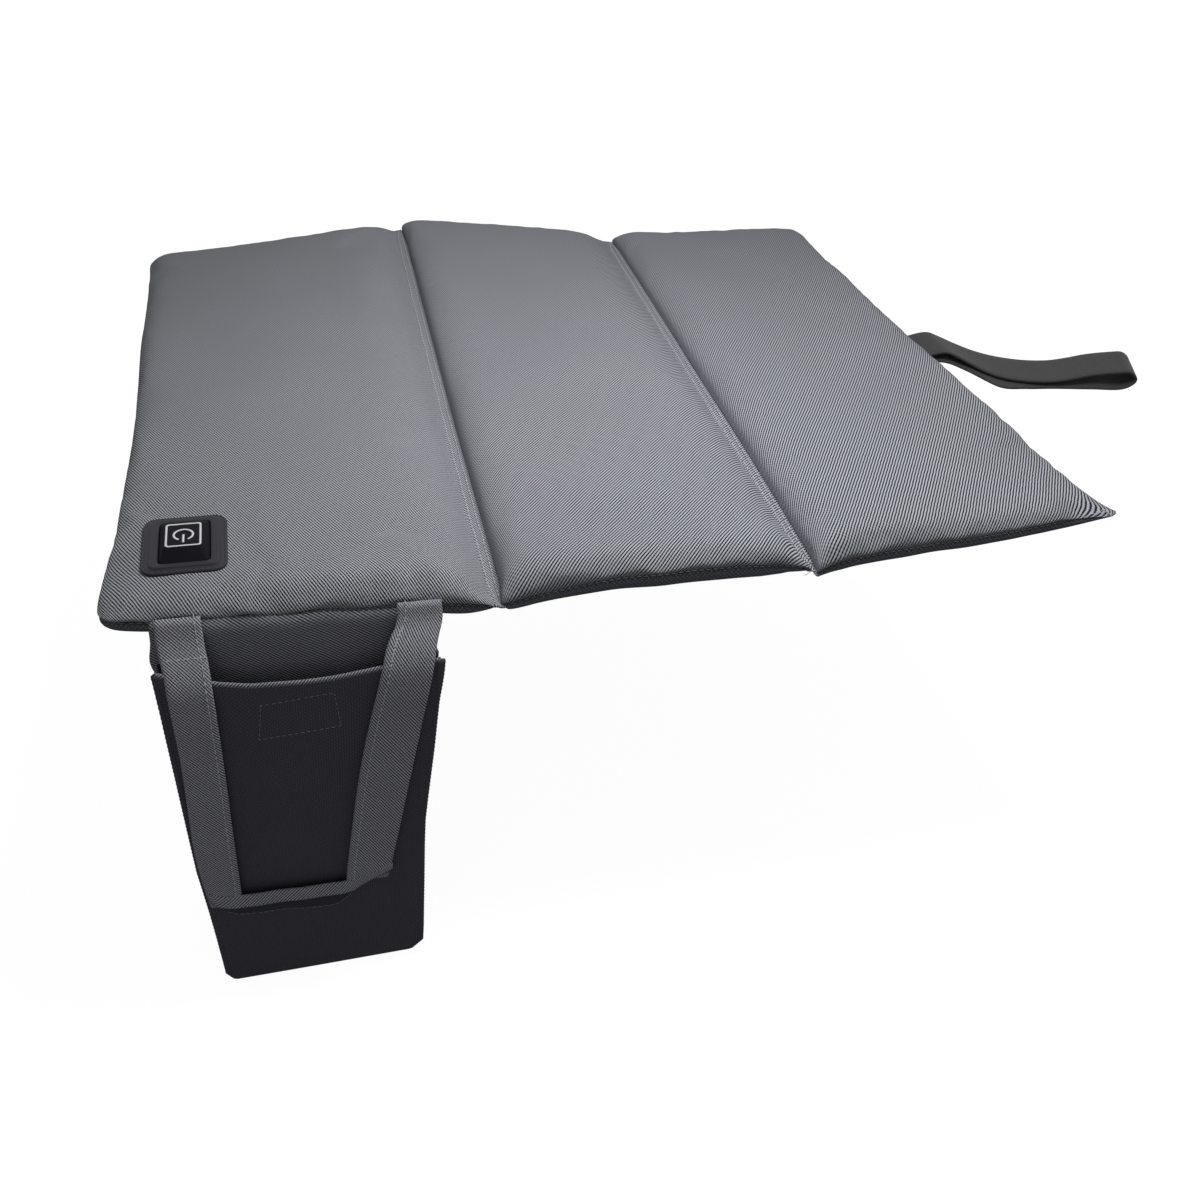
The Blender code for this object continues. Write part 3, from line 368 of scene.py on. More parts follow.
def slantedCloth(name, dark, light, slant, pitch):
    # Oxford whose yarns line up into fine slanted lines: clear near the front, faint towards the back. Their
    # dark and light are partly the weave's pattern and partly painted shade and painted highlight on its
    # ridges
    made, tree, shader = newMaterial(name)
    coordinates = addNode(tree, "ShaderNodeTexCoord").outputs
    place = coordinates["UV"]
    wavy = wavyPlace(tree, place, noises["wander"], pitch * mm * 0.3)
    rate = 2 * math.pi / (pitch * mm * math.hypot(*slant))
    lines = worked(tree, "SINE", dotted(tree, wavy, (slant[1] * rate, -slant[0] * rate, 0)))
    mixed = worked(tree, "MULTIPLY_ADD", weave(tree, wavy, yarnSpacing), 0.4, lines)
    patches = noiseAt(tree, place, noises["patches"], 3.0)
    fibres = noiseAt(tree, place, noises["slantedFibres"], 1.0)
    uneven = worked(tree, "ADD", patches, dotted(tree, coordinates["Object"], fadeIn))
    swing = worked(tree, "MULTIPLY", mixed, mapped(tree, uneven, 0.05, 1.0))
    # The lines' dark and light: partly the weave's pattern, partly painted shade and highlight on the ridges
    yarn = between(tree, worked(tree, "MULTIPLY_ADD", swing, 0.75, 0.5), dark, light)
    shade = worked(tree, "MULTIPLY", mapped(tree, patches, 0.92, 1.08), mapped(tree, fibres, 0.88, 1.12))
    colour = scaledBy(tree, yarn, shade)
    rough = mapped(tree, fibres, 0.78, 0.92)
    constants = {"Sheen Weight": 0.02, "Specular IOR Level": 0.1}
    return dressed(made, shader, colour, rough, swing, 0.5, 0.12, constants)


def ribbedBand(name, dark, light, pitch, relief, roughness):
    # Woven elastic: fine cords run along the band, with the weft crossing them
    made, tree, shader = newMaterial(name)
    place = addNode(tree, "ShaderNodeTexCoord").outputs["UV"]
    wavy = wavyPlace(tree, place, noises["cordWander"], pitch * mm * 0.2)
    parts = addNode(tree, "ShaderNodeSeparateXYZ", {0: wavy}).outputs
    cords, picks = [
        worked(tree, "COSINE", worked(tree, "MULTIPLY", parts[axis], 2 * math.pi / (step * mm)))
        for axis, step in (("X", pitch), ("Y", weftSpacing))
    ]
    height = mapped(tree, worked(tree, "MULTIPLY_ADD", picks, 0.35, cords), 0.0, 1.0, -1.35, 1.35)
    fibres = noiseAt(tree, place, noises["cordFibres"], 2.0)
    lit = mapped(tree, worked(tree, "MULTIPLY", height, fibres), 0.0, 1.0, 0.1, 0.45)
    rough = mapped(tree, fibres, roughness - 0.07, roughness + 0.07)
    colour = between(tree, lit, dark, light)
    return dressed(made, shader, colour, rough, height, 0.6, relief, {"Sheen Weight": 0.1})


def grainy(name, dark, light, scale, relief, roughness, constants=None):
    # A surface whose colour, roughness and relief all come from one grain
    made, tree, shader = newMaterial(name)
    grain = noiseAt(tree, addNode(tree, "ShaderNodeTexCoord").outputs["Object"], scale, 4.0, 0.6)
    rough = mapped(tree, grain, roughness - 0.06, roughness + 0.06)
    colour = between(tree, grain, dark, light)
    return dressed(made, shader, colour, rough, grain, 0.5, relief, constants or {})


# 600-denier polyester oxford, woven and backed: dull grey with fine slanted lines, brightest near the front;
# the lines' dark and light are partly painted shade and painted highlight on the yarn ridges.
# Its yarns are about 0.55 mm apart but drawn at 0.9 mm, and the lines at 1.0 to 1.2 mm, so that they show.
padCloths = {
    "left": slantedCloth("polyester oxford, left run", "#14161C", "#CCCFD7", (1, -1.8), 1.02),
    "middle": slantedCloth("polyester oxford, middle run", "#202228", "#C8CBD3", (1, 1.1), 1.12),
    "right": slantedCloth("polyester oxford, right run", "#1E2127", "#C6C9D1", (1, 1.6), 1.2),
}
# The lower covers, seen only as the lip under the front seam: the pad's grey painted darker, as shade
shadedUnderCloth = wovenCloth("underside polyester oxford, painted shade", "#7A7C84", "#5A5C63", 0.9, 0.12, 0.86, 0.04, 0.1)
# The pouch's oxford in dark navy: it takes little light, and its weave only shows where it turns
pouchCloth = wovenCloth("navy polyester oxford", "#63636D", "#595962", 0.9, 0.1, 0.88, 0.02, 0.08)
# The pouch's upper back and the mouth's rolled edge: the navy oxford painted lighter, to make up for the
# shade under the pad's front and as a painted highlight along the rim; paler on the yarn tops
paintedLightNavyCloth = slantedCloth("navy oxford, painted lighter", "#383840", "#B4B5C0", (1, 0.8), 0.95)
# The handle's oxford, folded over and pressed: the pad's grey, a little darker
handleCloth = slantedCloth("folded polyester oxford", "#3A3A42", "#D4D5DE", (1, 1.2), 0.9)
# The oxford of the grip where it is folded under, painted darker as shade, with the weave half filled
gripShadeCloth = wovenCloth("grip oxford, painted shade", "#4A4A52", "#3F3F47", 0.6, 0.06, 0.8, 0.02, 0.12)
# Its rolled edge: the same grey, with less contrast
edgeCloth = slantedCloth("pressed edge of the oxford", "#42424A", "#C4C5CE", (1, 1.2), 0.9)
# Braided elastic: matt black with fine cords along it
elasticBand = ribbedBand("woven elastic", "#1C1C1D", "#3A3A3B", 1.1, 0.12, 0.8)
# Moulded silicone, frosted by the mould: dark grey with a wide soft gloss
bezelRubber = grainy("moulded silicone", "#222229", "#2F2F38", 2600, 0.03, 0.55, {"Specular IOR Level": 0.22})
capRubber = grainy("satin silicone", "#15151A", "#1E1E24", 2600, 0.02, 0.6, {"Specular IOR Level": 0.05})
# Pad-printed white ink on the key: matt, a little uneven
whiteInk = grainy("printed white ink", "#F0F1F5", "#FFFFFF", 1500, 0.01, 0.6)
# Polyester sewing thread, two-ply: pale with a slight silk gloss
sewingThread = grainy("polyester thread", "#B4B8BD", "#DCE0E4", 1800, 0.05, 0.55, {"Sheen Weight": 0.2})
greyThread = grainy("grey polyester thread", "#6E7078", "#A2A5AC", 1800, 0.05, 0.55, {"Sheen Weight": 0.1})
darkThread = grainy("dark polyester thread", "#1D1D20", "#35353A", 1800, 0.05, 0.55)
# Cut polyurethane foam: open cells, cream, quite matt
seatFoam = grainy("polyurethane foam", "#D8CFB4", "#EFE8D2", 900, 0.4, 0.95)
# Needled polyester felt: white, fibrous
carrierFelt = grainy("needled felt", "#CFCFCB", "#F0F0EC", 700, 0.15, 0.95)
# Carbon fibre wire in a fluoropolymer jacket: smooth, brick red
wireJacket = grainy("jacketed carbon wire", "#8E2A22", "#B23A2E", 500, 0.02, 0.38)
# Glass epoxy board under green solder mask: glossy
boardMask = grainy("solder mask", "#14512F", "#1E6B40", 900, 0.02, 0.28)
# Rolled stainless steel shell
switchSteel = grainy("stainless steel", "#B8B8B6", "#D2D2D0", 600, 0.01, 0.3, {"Metallic": 1.0})
# Cast epoxy lens: milky white
lampResin = grainy("cast epoxy", "#E9E4DC", "#F7F4EF", 300, 0.01, 0.2, {"Transmission Weight": 0.35})
# Moulded ABS
blackPlastic = grainy("moulded ABS", "#18181A", "#232326", 1200, 0.03, 0.45)
# PVC lead jacket, extruded
leadJacket = grainy("PVC jacket", "#151517", "#222225", 700, 0.02, 0.4)
# Hook and loop tape: a dense nylon pile
tapePile = grainy("nylon hook tape", "#0F0F12", "#2C2C32", 1900, 0.5, 0.9, {"Sheen Weight": 0.3})

nodeFinishes = {
    "foam": seatFoam, "heat_carrier": carrierFelt, "heating_wire": wireJacket,
    "switch_tray": blackPlastic, "switch_board": boardMask, "tact_switch": switchSteel,
    "status_lamp": lampResin, "switch_lead": leadJacket, "heater_lead": leadJacket,
    "lead_eyelet": bezelRubber, "switch_plunger": blackPlastic,
}
for nodeName, node in nodes.items():
    for ending, finish in nodeFinishes.items():
        if nodeName.endswith(ending):
            node.data.materials.clear()
            node.data.materials.append(finish)
print("finishes made")


# Padded panels

pad = {
    "front": -175.0,
    "back": 175.0,
    "crown": 13.0,
    "drawIn": 0.9,
    "corner": {"outer": 8.0, "steep": 2.5, "gentle": 2.5},
    "spacing": 3.4,
    "crease": 0.8,
    # the flat ear at the front right corner
    "earReach": 8.0,
    "earForward": 2.5,
    "earSpread": 8.5,
    "earFlat": 0.85,
    # the button's middle, the top of the cloth under it, half the cloth held flat, and the fade round that
    "switchX": -178.5,
    "switchY": -137.5,
    "switchTop": 13.72,
    "switchHalf": (15.5, 19.5),
    "switchFade": 9.0,
    "switchHeld": (20, 24),
}
# Waves in the top covers: height, distance in from the seam, spread
waves = {"puff": (1.5, 11, 9), "side": (0.35, 4, 7), "end": (0.45, 4, 8), "dent": (0.9, 7, 9)}
# The run as cloth under pressure, and the furthest that a point may move, in mm
swell = {
    "most": 1.0,
    "growth": 0.014,
    "pressure": 2.5,
    "mass": 0.2,
    "stretch": 25,
    "shear": 8,
    "bend": 0.6,
    "quality": 5,
    "steps": 20,
}
# front: (x, height) along the front seam; lip: (x, how far the lower cover hangs below that seam);
# back: height of the back seam at the low and the high side
panels = {
    "left": {
        "low": -207.5, "high": -66.5, "edges": ("outer", "gentle"), "back": (3.5, 3.4), "seed": 3,
        "front": [(-207.5, 8.8), (-190, 6.6), (-171, 5.7), (-140, 4.8), (-106, 3.8), (-86, 4.2), (-76, 3.6),
                  (-66.5, 2.6)],
        "lip": [(-207.5, 4.2), (-201, 5), (-190, 5.6), (-171, 5.7), (-140, 4.8), (-106, 3.9), (-96, 4.2),
                (-84, 5.8), (-76, 5.8), (-66.5, 4.8)],
    },
    "middle": {
        "low": -60.5, "high": 60.5, "edges": ("steep", "gentle"), "back": (3.4, 3.8), "seed": 5,
        "front": [(-60.5, 2.6), (-46, 4.6), (-30, 6.4), (0, 7.3), (30, 7.2), (46, 6), (54, 4), (60.5, 2.6)],
        "lip": [(-60.5, 4.6), (-46, 4.9), (-30, 6), (0, 7.3), (30, 7.2), (46, 6), (54, 4), (60.5, 2.6)],
    },
    "right": {
        "low": 66.5, "high": 192.5, "edges": ("steep", "outer"), "back": (3.8, 3.6), "seed": 8,
        "front": [(66.5, 2.6), (76, 4.6), (96, 6.4), (129, 7.6), (148, 8), (164.5, 8.4), (180, 10),
                  (192.5, 11)],
        "lip": [(66.5, 2.8), (76, 4.8), (96, 5.2), (123, 5.2), (140, 5.2), (158, 4.8), (175, 5), (185, 5.2),
                (192.5, 3)],
    },
}
# How a cover rolls away from its seam: (distance in from the seam, share of the way to the crown or the seat)
rollOver = {
    "outer": [(1.4, 0), (0.35, 0.07), (0, 0.22), (0.35, 0.42), (1.3, 0.60), (2.9, 0.765), (5.2, 0.885),
              (8.4, 0.955), (12.5, 0.985), (17.5, 1)],
    "front": [(1.4, 0), (0.4, 0.1), (0.2, 0.27), (0.8, 0.45), (2, 0.62), (3.8, 0.77), (6, 0.885),
              (9, 0.96), (14, 0.99), (26, 1)],
    "steep": [(-1.0, 0), (-1.5, 0.12), (-1.6, 0.28), (-1.2, 0.46), (-0.1, 0.63), (1.8, 0.78), (4.4, 0.885),
              (8, 0.95), (12, 0.985), (17.5, 1)],
    "gentle": [(0.6, 0), (1, 0.06), (1.8, 0.15), (3.2, 0.3), (5.2, 0.48), (8, 0.67), (11.5, 0.83),
               (15.5, 0.93), (20, 0.98), (26, 1)],
}
rollUnder = {
    "outer": [(1.4, 0), (0.35, 0.18), (0.1, 0.42), (0.6, 0.70), (1.6, 0.88), (3.2, 0.97), (5.2, 1),
              (8.4, 1), (12.5, 1), (17.5, 1)],
    "front": [(1.4, 0), (0.35, 0.18), (0.1, 0.42), (0.6, 0.70), (1.8, 0.88), (4, 0.97), (7.5, 1),
              (12.5, 1), (18.5, 1), (26, 1)],
    "steep": [(0.8, 0), (0.4, 0.2), (0.4, 0.42), (1, 0.70), (2, 0.88), (3.6, 0.97), (5.6, 1),
              (8.4, 1), (12.5, 1), (17.5, 1)],
    "gentle": [(0.6, 0), (1.4, 0.2), (2.6, 0.4), (4.2, 0.6), (6.2, 0.8), (8.6, 0.93), (11.5, 1),
               (15.5, 1), (20, 1), (26, 1)],
}
# How the pad lies on its seat: the left fold stands up at the back, the front right corner curls up a little
lie = {
    # shifts of the back and the front edge, by x
    "lines": (-207.5, -110.0, -64.0, 62.0, 192.5),
    "backRise": (-4.2, 3.8, 11.2, -2.0, -3.2),
    "backAside": (4.0, 2.3, 1.5, 1.3, -4.0),
    "frontAside": (-2.25, -1.9, -1.7, 0.0, 1.5),
    "backAlong": (-3.2, 0.7, 2.5, 0.0, -1.0),
    "frontLines": (-207.5, -150, -96, -84, -64, -50, -20, 40, 52, 62, 66.5, 72, 80, 192.5),
    "frontAlong": (0.0, -1.0, -1.2, -3.8, -5.6, -3.8, -2.4, -2.4, -0.8, -2.8, -5.2, -2.8, -1.2, 2.0),
    # how far the outer edges are drawn in, by y
    "waistAt": (-175, -150, -135, -120, -100, -80, -60, -40, -20, 0, 20, 40, 60, 120, 175),
    "leftWaist": (-0.4, -0.3, 1.1, 2.4, 3.1, 3.5, 3.7, 3.8, 3.8, 3.2, 2.5, 1.7, 1.0, 1.0, 0.5),
    "rightWaist": (3.0, 2.6, 2.0, 1.4, 0.6, 1.0, 1.5, 1.8, 2.2, 2.5, 2.8, 3.0, 3.0, 3.0, 3.0),
    "waistReach": 60.0,
    # the folds are drawn together at their ends
    "folds": (-63.5, 63.5),
    "pinch": 0.75,
    "pinchAside": 6.0,
    "pinchAlong": 9.0,
    # the right panel comes over its fold at the front
    "pullLine": 68.0,
    "pullShift": -2.0,
    "pullAside": 7.0,
    "pullAlong": 60.0,
    "riseFrom": -60.0,
    "risePower": 1.5,
    "sinkDepth": 10.0,
    "stillY": 3.0,
    "endFrom": 25.0,
    # the cloth round the button stays where its moulded parts are
    "calm": 45.0,
    "curl": 3.0,
    "curlSpread": 40.0,
}


def bent(points):
    # Points of the flat pad, moved to where they lie
    points = np.array(points, float)
    x, y, z = points[..., 0], points[..., 1], points[..., 2]
    still, ends, front, back = lie["stillY"], lie["endFrom"], pad["front"], pad["back"]

    def read(value, places, amounts):
        return np.interp(value, lie[places], lie[amounts])

    rise = read(x, "lines", "backRise") * shareOf(y, lie["riseFrom"], back) ** lie["risePower"]
    far = (x - panels["right"]["high"]) ** 2 + (y - front) ** 2
    rise = rise + lie["curl"] * np.exp(-far / lie["curlSpread"] ** 2)
    aside = read(x, "lines", "backAside") * shareOf(y, still, back)
    aside = aside + read(x, "lines", "frontAside") * shareOf(y, still, front)
    along = read(x, "lines", "backAlong") * shareOf(y, ends, back)
    along = along + read(x, "frontLines", "frontAlong") * shareOf(y, -ends, front)
    atLeft = np.clip(1 - (x - panels["left"]["low"]) / lie["waistReach"], 0, 1)
    atRight = np.clip(1 - (panels["right"]["high"] - x) / lie["waistReach"], 0, 1)
    waist = read(y, "waistAt", "leftWaist") * atLeft - read(y, "waistAt", "rightWaist") * atRight
    atEnd = hump(back - np.abs(y), lie["pinchAlong"])
    for middle in lie["folds"]:
        waist = waist - lie["pinch"] * (x - middle) * hump(x - middle, lie["pinchAside"]) * atEnd
    nearFront = hump(y - front, lie["pullAlong"])
    waist = waist + lie["pullShift"] * hump(x - lie["pullLine"], lie["pullAside"]) * nearFront
    near = np.exp(-((x - pad["switchX"]) ** 2 + (y - pad["switchY"]) ** 2) / lie["calm"] ** 2)
    rise = rise * np.where(rise > 0, 1, np.clip(z / lie["sinkDepth"], 0, 1))
    return np.stack([x + waist + aside * (1 - near), y + along * (1 - near), z + rise * (1 - near)], axis=-1)


def bendMesh(obj):
    places = np.array([v.co for v in obj.data.vertices]) / mm
    obj.data.vertices.foreach_set("co", (bent(places) * mm).astype(np.float32).ravel())
    obj.data.update()


def seamHeight(panel, x, y):
    across = shareOf(x, panel["low"], panel["high"])
    along = shareOf(y, pad["front"], pad["back"])
    places, heights = zip(*panel["front"])
    uneven = 0.5 * ripple(x, panel["seed"] + 9, (26, 43)) * np.sin(np.pi * across)
    front = np.interp(x, places, heights) + uneven
    back = panel["back"][0] + (panel["back"][1] - panel["back"][0]) * across
    return front + (back - front) * smooth(along, 0, 0.85)


def edgeLines(low, high, edges, roll):
    start, end = roll[edges[0]], roll[edges[1]]
    inner = (low + start[-1][0], high - end[-1][0])
    count = max(round((inner[1] - inner[0]) / pad["spacing"]), 1)
    middle = np.linspace(*inner, count + 1)[1:-1]
    places = [low + i for i, _ in start] + list(middle) + [high - i for i, _ in reversed(end)]
    shares = [s for _, s in start] + [1.0] * len(middle) + [s for _, s in reversed(end)]
    return np.array(places), np.array(shares)


def coverWave(kind, distance, wave):
    height, inset, spread = waves[kind]
    return height * (wave * hump(distance - inset, spread))


def shapedPanel(panel, roll, isTop):
    xs, xShare = edgeLines(panel["low"], panel["high"], panel["edges"], roll)
    ys, yShare = edgeLines(pad["front"], pad["back"], ("front", "outer"), roll)
    x, y = np.meshgrid(xs, ys)
    share = np.outer(yShare, xShare)
    seam = seamHeight(panel, x, y)
    low, high, seed = panel["low"], panel["high"], panel["seed"]
    inwards = y - pad["front"]
    if isTop:
        nearSide, nearEnd = np.minimum(x - low, high - x), np.minimum(inwards, pad["back"] - y)
        crown = pad["crown"] + coverWave("puff", inwards, 1)
        crown = crown + 0.35 * np.sin(2 * np.pi * x / 97 + seed) * np.sin(2 * np.pi * y / 121 + 2 * seed)
        crown = crown + 0.22 * np.sin(2 * np.pi * (x * 0.6 + y) / 61 + 3 * seed)
        # Puckers run in from the seams, where the stitches draw the cloth
        relief = coverWave("side", nearSide, ripple(y, seed)) + coverWave("end", nearEnd, ripple(x, seed + 1))
        # Broader dents along the front, where the cover turns down over the foam
        relief = relief + coverWave("dent", inwards, ripple(x, seed + 4, (19, 33, 57)))
        z = seam + (crown - seam) * share + relief * np.minimum(share * 3, 1)
    else:
        places, lips = zip(*panel["lip"])
        lip = seam - np.interp(x, places, lips)
        raised = np.maximum(lip - 0.42 * np.maximum(inwards - 1.5, 0), 0)
        foot = np.where(lip > 0, raised, lip * hump(inwards, 7))
        z = seam * (1 - share) + foot * share
    newX, newY = x.copy(), y.copy()
    for edge, sign, kind in ((low, -1, panel["edges"][0]), (high, 1, panel["edges"][1])):
        radius = pad["corner"][kind]
        u = (x - (edge - sign * radius)) * sign / radius
        for end, endSign in ((pad["front"], -1), (pad["back"], 1)):
            v = (y - (end - endSign * radius)) * endSign / radius
            inside = (u > 0) & (v > 0)
            roundX = u * np.sqrt(1 - np.clip(v, 0, 1) ** 2 / 2)
            roundY = v * np.sqrt(1 - np.clip(u, 0, 1) ** 2 / 2)
            newX = np.where(inside, edge + sign * radius * (roundX - 1), newX)
            newY = np.where(inside, end + endSign * radius * (roundY - 1), newY)
    acrossShare, alongShare = (x - (low + high) / 2) / ((high - low) / 2), y / pad["back"]
    if panel["edges"][0] == "outer":
        newX += pad["drawIn"] * np.maximum(-acrossShare, 0) * (1 - alongShare**2)
    if panel["edges"][1] == "outer":
        newX -= pad["drawIn"] * np.maximum(acrossShare, 0) * (1 - alongShare**2)
        # The front right corner is pinched out to a flat ear
        ear = hump((x - high) ** 2 + inwards**2, pad["earSpread"] ** 2)
        newX += pad["earReach"] * ear
        newY -= pad["earForward"] * ear
        z = seam + (z - seam) * (1 - pad["earFlat"] * ear)
    newY -= pad["drawIn"] * alongShare * (1 - acrossShare**2)
    if isTop and low < pad["switchX"] < high:
        halfX, halfY = pad["switchHalf"]
        away = np.maximum(np.abs(x - pad["switchX"]) - halfX, np.abs(y - pad["switchY"]) - halfY)
        z = z + (pad["switchTop"] - z) * (1 - smooth(away / pad["switchFade"]))
    return np.stack([newX, newY, z], axis=2)


def swollen(obj, held):
    # Air pressure under a sewn cover: what isn't held puffs out and wrinkles, up to the most allowed
    before = np.array([v.co for v in obj.data.vertices])
    group = obj.vertex_groups.new(name="held")
    group.add([int(i) for i in held], 1.0, "REPLACE")
    cloth = obj.modifiers.new("swell", "CLOTH")
    use = cloth.settings
    use.quality = swell["quality"]
    use.mass = swell["mass"]
    use.tension_stiffness = use.compression_stiffness = swell["stretch"]
    use.shear_stiffness = swell["shear"]
    use.bending_stiffness = swell["bend"]
    use.use_pressure = True
    use.uniform_pressure_force = swell["pressure"]
    use.vertex_group_mass = "held"
    use.shrink_min = -swell["growth"]
    use.effector_weights.gravity = 0
    cloth.collision_settings.use_collision = False
    cloth.point_cache.frame_start, cloth.point_cache.frame_end = 1, swell["steps"]
    for step in range(1, swell["steps"] + 1):
        scene.frame_set(step)
    shaped = obj.evaluated_get(bpy.context.evaluated_depsgraph_get())
    moved = np.array([v.co for v in shaped.data.vertices]) - before
    far = np.linalg.norm(moved, axis=1, keepdims=True)
    print("swelled", obj.name, "most", round(float(far.max()) / mm, 2), "mm before the limit")
    limit = swell["most"] * mm
    after = before + moved / np.maximum(far, 1e-9) * limit * np.tanh(far / limit)
    obj.modifiers.remove(cloth)
    obj.vertex_groups.remove(group)
    obj.data.vertices.foreach_set("co", after.astype(np.float32).ravel())
    obj.data.update()
    scene.frame_set(1)


def makePanel(name, panel):
    over, under = shapedPanel(panel, rollOver, True), shapedPanel(panel, rollUnder, False)
    rows, columns = over.shape[:2]
    under[0], under[-1], under[:, 0], under[:, -1] = over[0], over[-1], over[:, 0], over[:, -1]
    size = rows * columns
    index = np.arange(size).reshape(rows, columns)
    underIndex = index.copy()
    underIndex[1:-1, 1:-1] = size + np.arange((rows - 2) * (columns - 2)).reshape(rows - 2, columns - 2)
    points = np.vstack([over.reshape(-1, 3), under[1:-1, 1:-1].reshape(-1, 3)]) * mm
    faces, uvs = [], []
    for surface, table, isTop in ((over, index, True), (under, underIndex, False)):
        u, v = runAlong(surface[rows // 2]) * mm, runAlong(surface[:, columns // 2]) * mm
        for r in range(rows - 1):
            for c in range(columns - 1):
                quad = [(r, c), (r, c + 1), (r + 1, c + 1), (r + 1, c)]
                quad = quad if isTop else quad[::-1]
                faces.append([int(table[i]) for i in quad])
                uvs += [(u[j], v[i]) for i, j in quad]
    obj = makeMesh(f"{name}_cushion", points, faces, uvs, padCloths[name])
    # The lower cover takes the darker grey: painted shade on the lip
    obj.data.materials.append(shadedUnderCloth)
    for polygon in obj.data.polygons[(rows - 1) * (columns - 1):]:
        polygon.material_index = 1
    ring = np.zeros((rows, columns), bool)
    ring[0], ring[-1], ring[:, 0], ring[:, -1] = True, True, True, True
    onRing = set(index[ring].tolist())
    crease = obj.data.attributes.new("crease_edge", "FLOAT", "EDGE")
    sharp = [pad["crease"] if onRing.issuperset(edge.vertices) else 0.0 for edge in obj.data.edges]
    crease.data.foreach_set("value", sharp)
    fromSwitch = np.abs(points[:size, :2] / mm - (pad["switchX"], pad["switchY"]))
    underSwitch = np.flatnonzero((fromSwitch < pad["switchHeld"]).all(axis=1)).tolist()
    swollen(obj, sorted(onRing.union(range(size, len(points)), underSwitch)))
    finer = obj.modifiers.new("finer", "SUBSURF")
    finer.levels = finer.render_levels = 1
    baked(obj)
    bendMesh(obj)
    return settled(obj, name, (f"{name}_top_cover", f"{name}_bottom_cover"))


for panelName, panelFacts in panels.items():
    makePanel(panelName, panelFacts)
print("panels padded")


# What the covers hold, cut into short lengths so that it lies as they do

fill = {"step": 20.0, "same": 1e-6}


def bentCopy(name, node, finish):
    data = nodes[node].data.copy()
    shape = bmesh.new()
    shape.from_mesh(data)
    bmesh.ops.remove_doubles(shape, verts=shape.verts, dist=fill["same"])
    low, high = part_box(node)
    for axis in (0, 1):
        for place in np.arange(low[axis] / mm + fill["step"], high[axis] / mm - 1, fill["step"]):
            spot, facing = Vector(), Vector()
            spot[axis], facing[axis] = place * mm, 1
            every = shape.verts[:] + shape.edges[:] + shape.faces[:]
            bmesh.ops.bisect_plane(shape, geom=every, plane_co=spot, plane_no=facing)
    shape.to_mesh(data)
    shape.free()
    obj = bpy.data.objects.new(name, data)
    scene.collection.objects.link(obj)
    data.materials.clear()
    data.materials.append(finish)
    bendMesh(obj)
    return obj, Vector(high) - Vector(low)


for panelName in panels:
    slab, _ = bentCopy(f"{panelName}_foam_slab", f"{panelName}_foam", seatFoam)
    settled(slab, panelName, (f"{panelName}_foam",))
    felt, spread = bentCopy(f"{panelName}_felt_layer", f"{panelName}_heat_carrier", carrierFelt)
    settled(felt, panelName, (f"{panelName}_heat_carrier",))
    wire, _ = bentCopy(f"{panelName}_sewn_wire", f"{panelName}_heating_wire", wireJacket)
    settled(wire, panelName, (f"{panelName}_heating_wire",))
print("pad filled")


# Fold strips, where both covers are sewn flat onto each other

strip = {
    "thickness": 1.3,
    "endInset": 1.0,
    "cover": 2.6,
    "rows": 90,
    "columns": 12,
    "drop": 1.3,
    "tilt": 0.9,
    # how far in the stitch rows lie from its left and its right edge
    "lowInset": 0.2,
    "highInset": 3.1,
}
strips = {
    "left": {"far": -66.5, "near": -60.5, "front": 2.8, "back": 3.4},
    "right": {"far": 66.5, "near": 60.5, "front": 2.8, "back": 3.8},
}


def stripEdges(facts):
    return min(facts["near"], facts["far"]), max(facts["near"], facts["far"])


def stripHeight(facts, x, y):
    # It hangs from the gentle side on its left and meets the foot of the steep side on its right
    low, high = stripEdges(facts)
    share = (np.asarray(x, float) - low) / (high - low)
    along = smooth((y - pad["front"]) / (pad["back"] - pad["front"]), 0, 0.85)
    seam = facts["front"] + (facts["back"] - facts["front"]) * along
    return seam - strip["drop"] + strip["tilt"] * (1 - np.clip(share, 0, 1)) + 0.12 * ripple(y + x * 0.4, 31)


def makeStrip(other, facts):
    low, high = stripEdges(facts)
    xs = np.linspace(low - strip["cover"], high + strip["cover"], strip["columns"])
    ys = np.linspace(pad["front"] + strip["endInset"], pad["back"] - strip["endInset"], strip["rows"])
    x, y = np.meshgrid(xs, ys)
    grid = bent(np.stack([x, y, stripHeight(facts, x, y)], axis=2))
    cloth = padCloths["left" if other == "left" else "middle"]
    obj = clothSheet(f"{other}_fold_web", grid, strip["thickness"], cloth)
    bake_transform(obj)
    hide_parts(f"{other}_fold_strip")


for stripSide, stripFacts in strips.items():
    makeStrip(stripSide, stripFacts)
print("fold strips sewn")


# Battery pouch

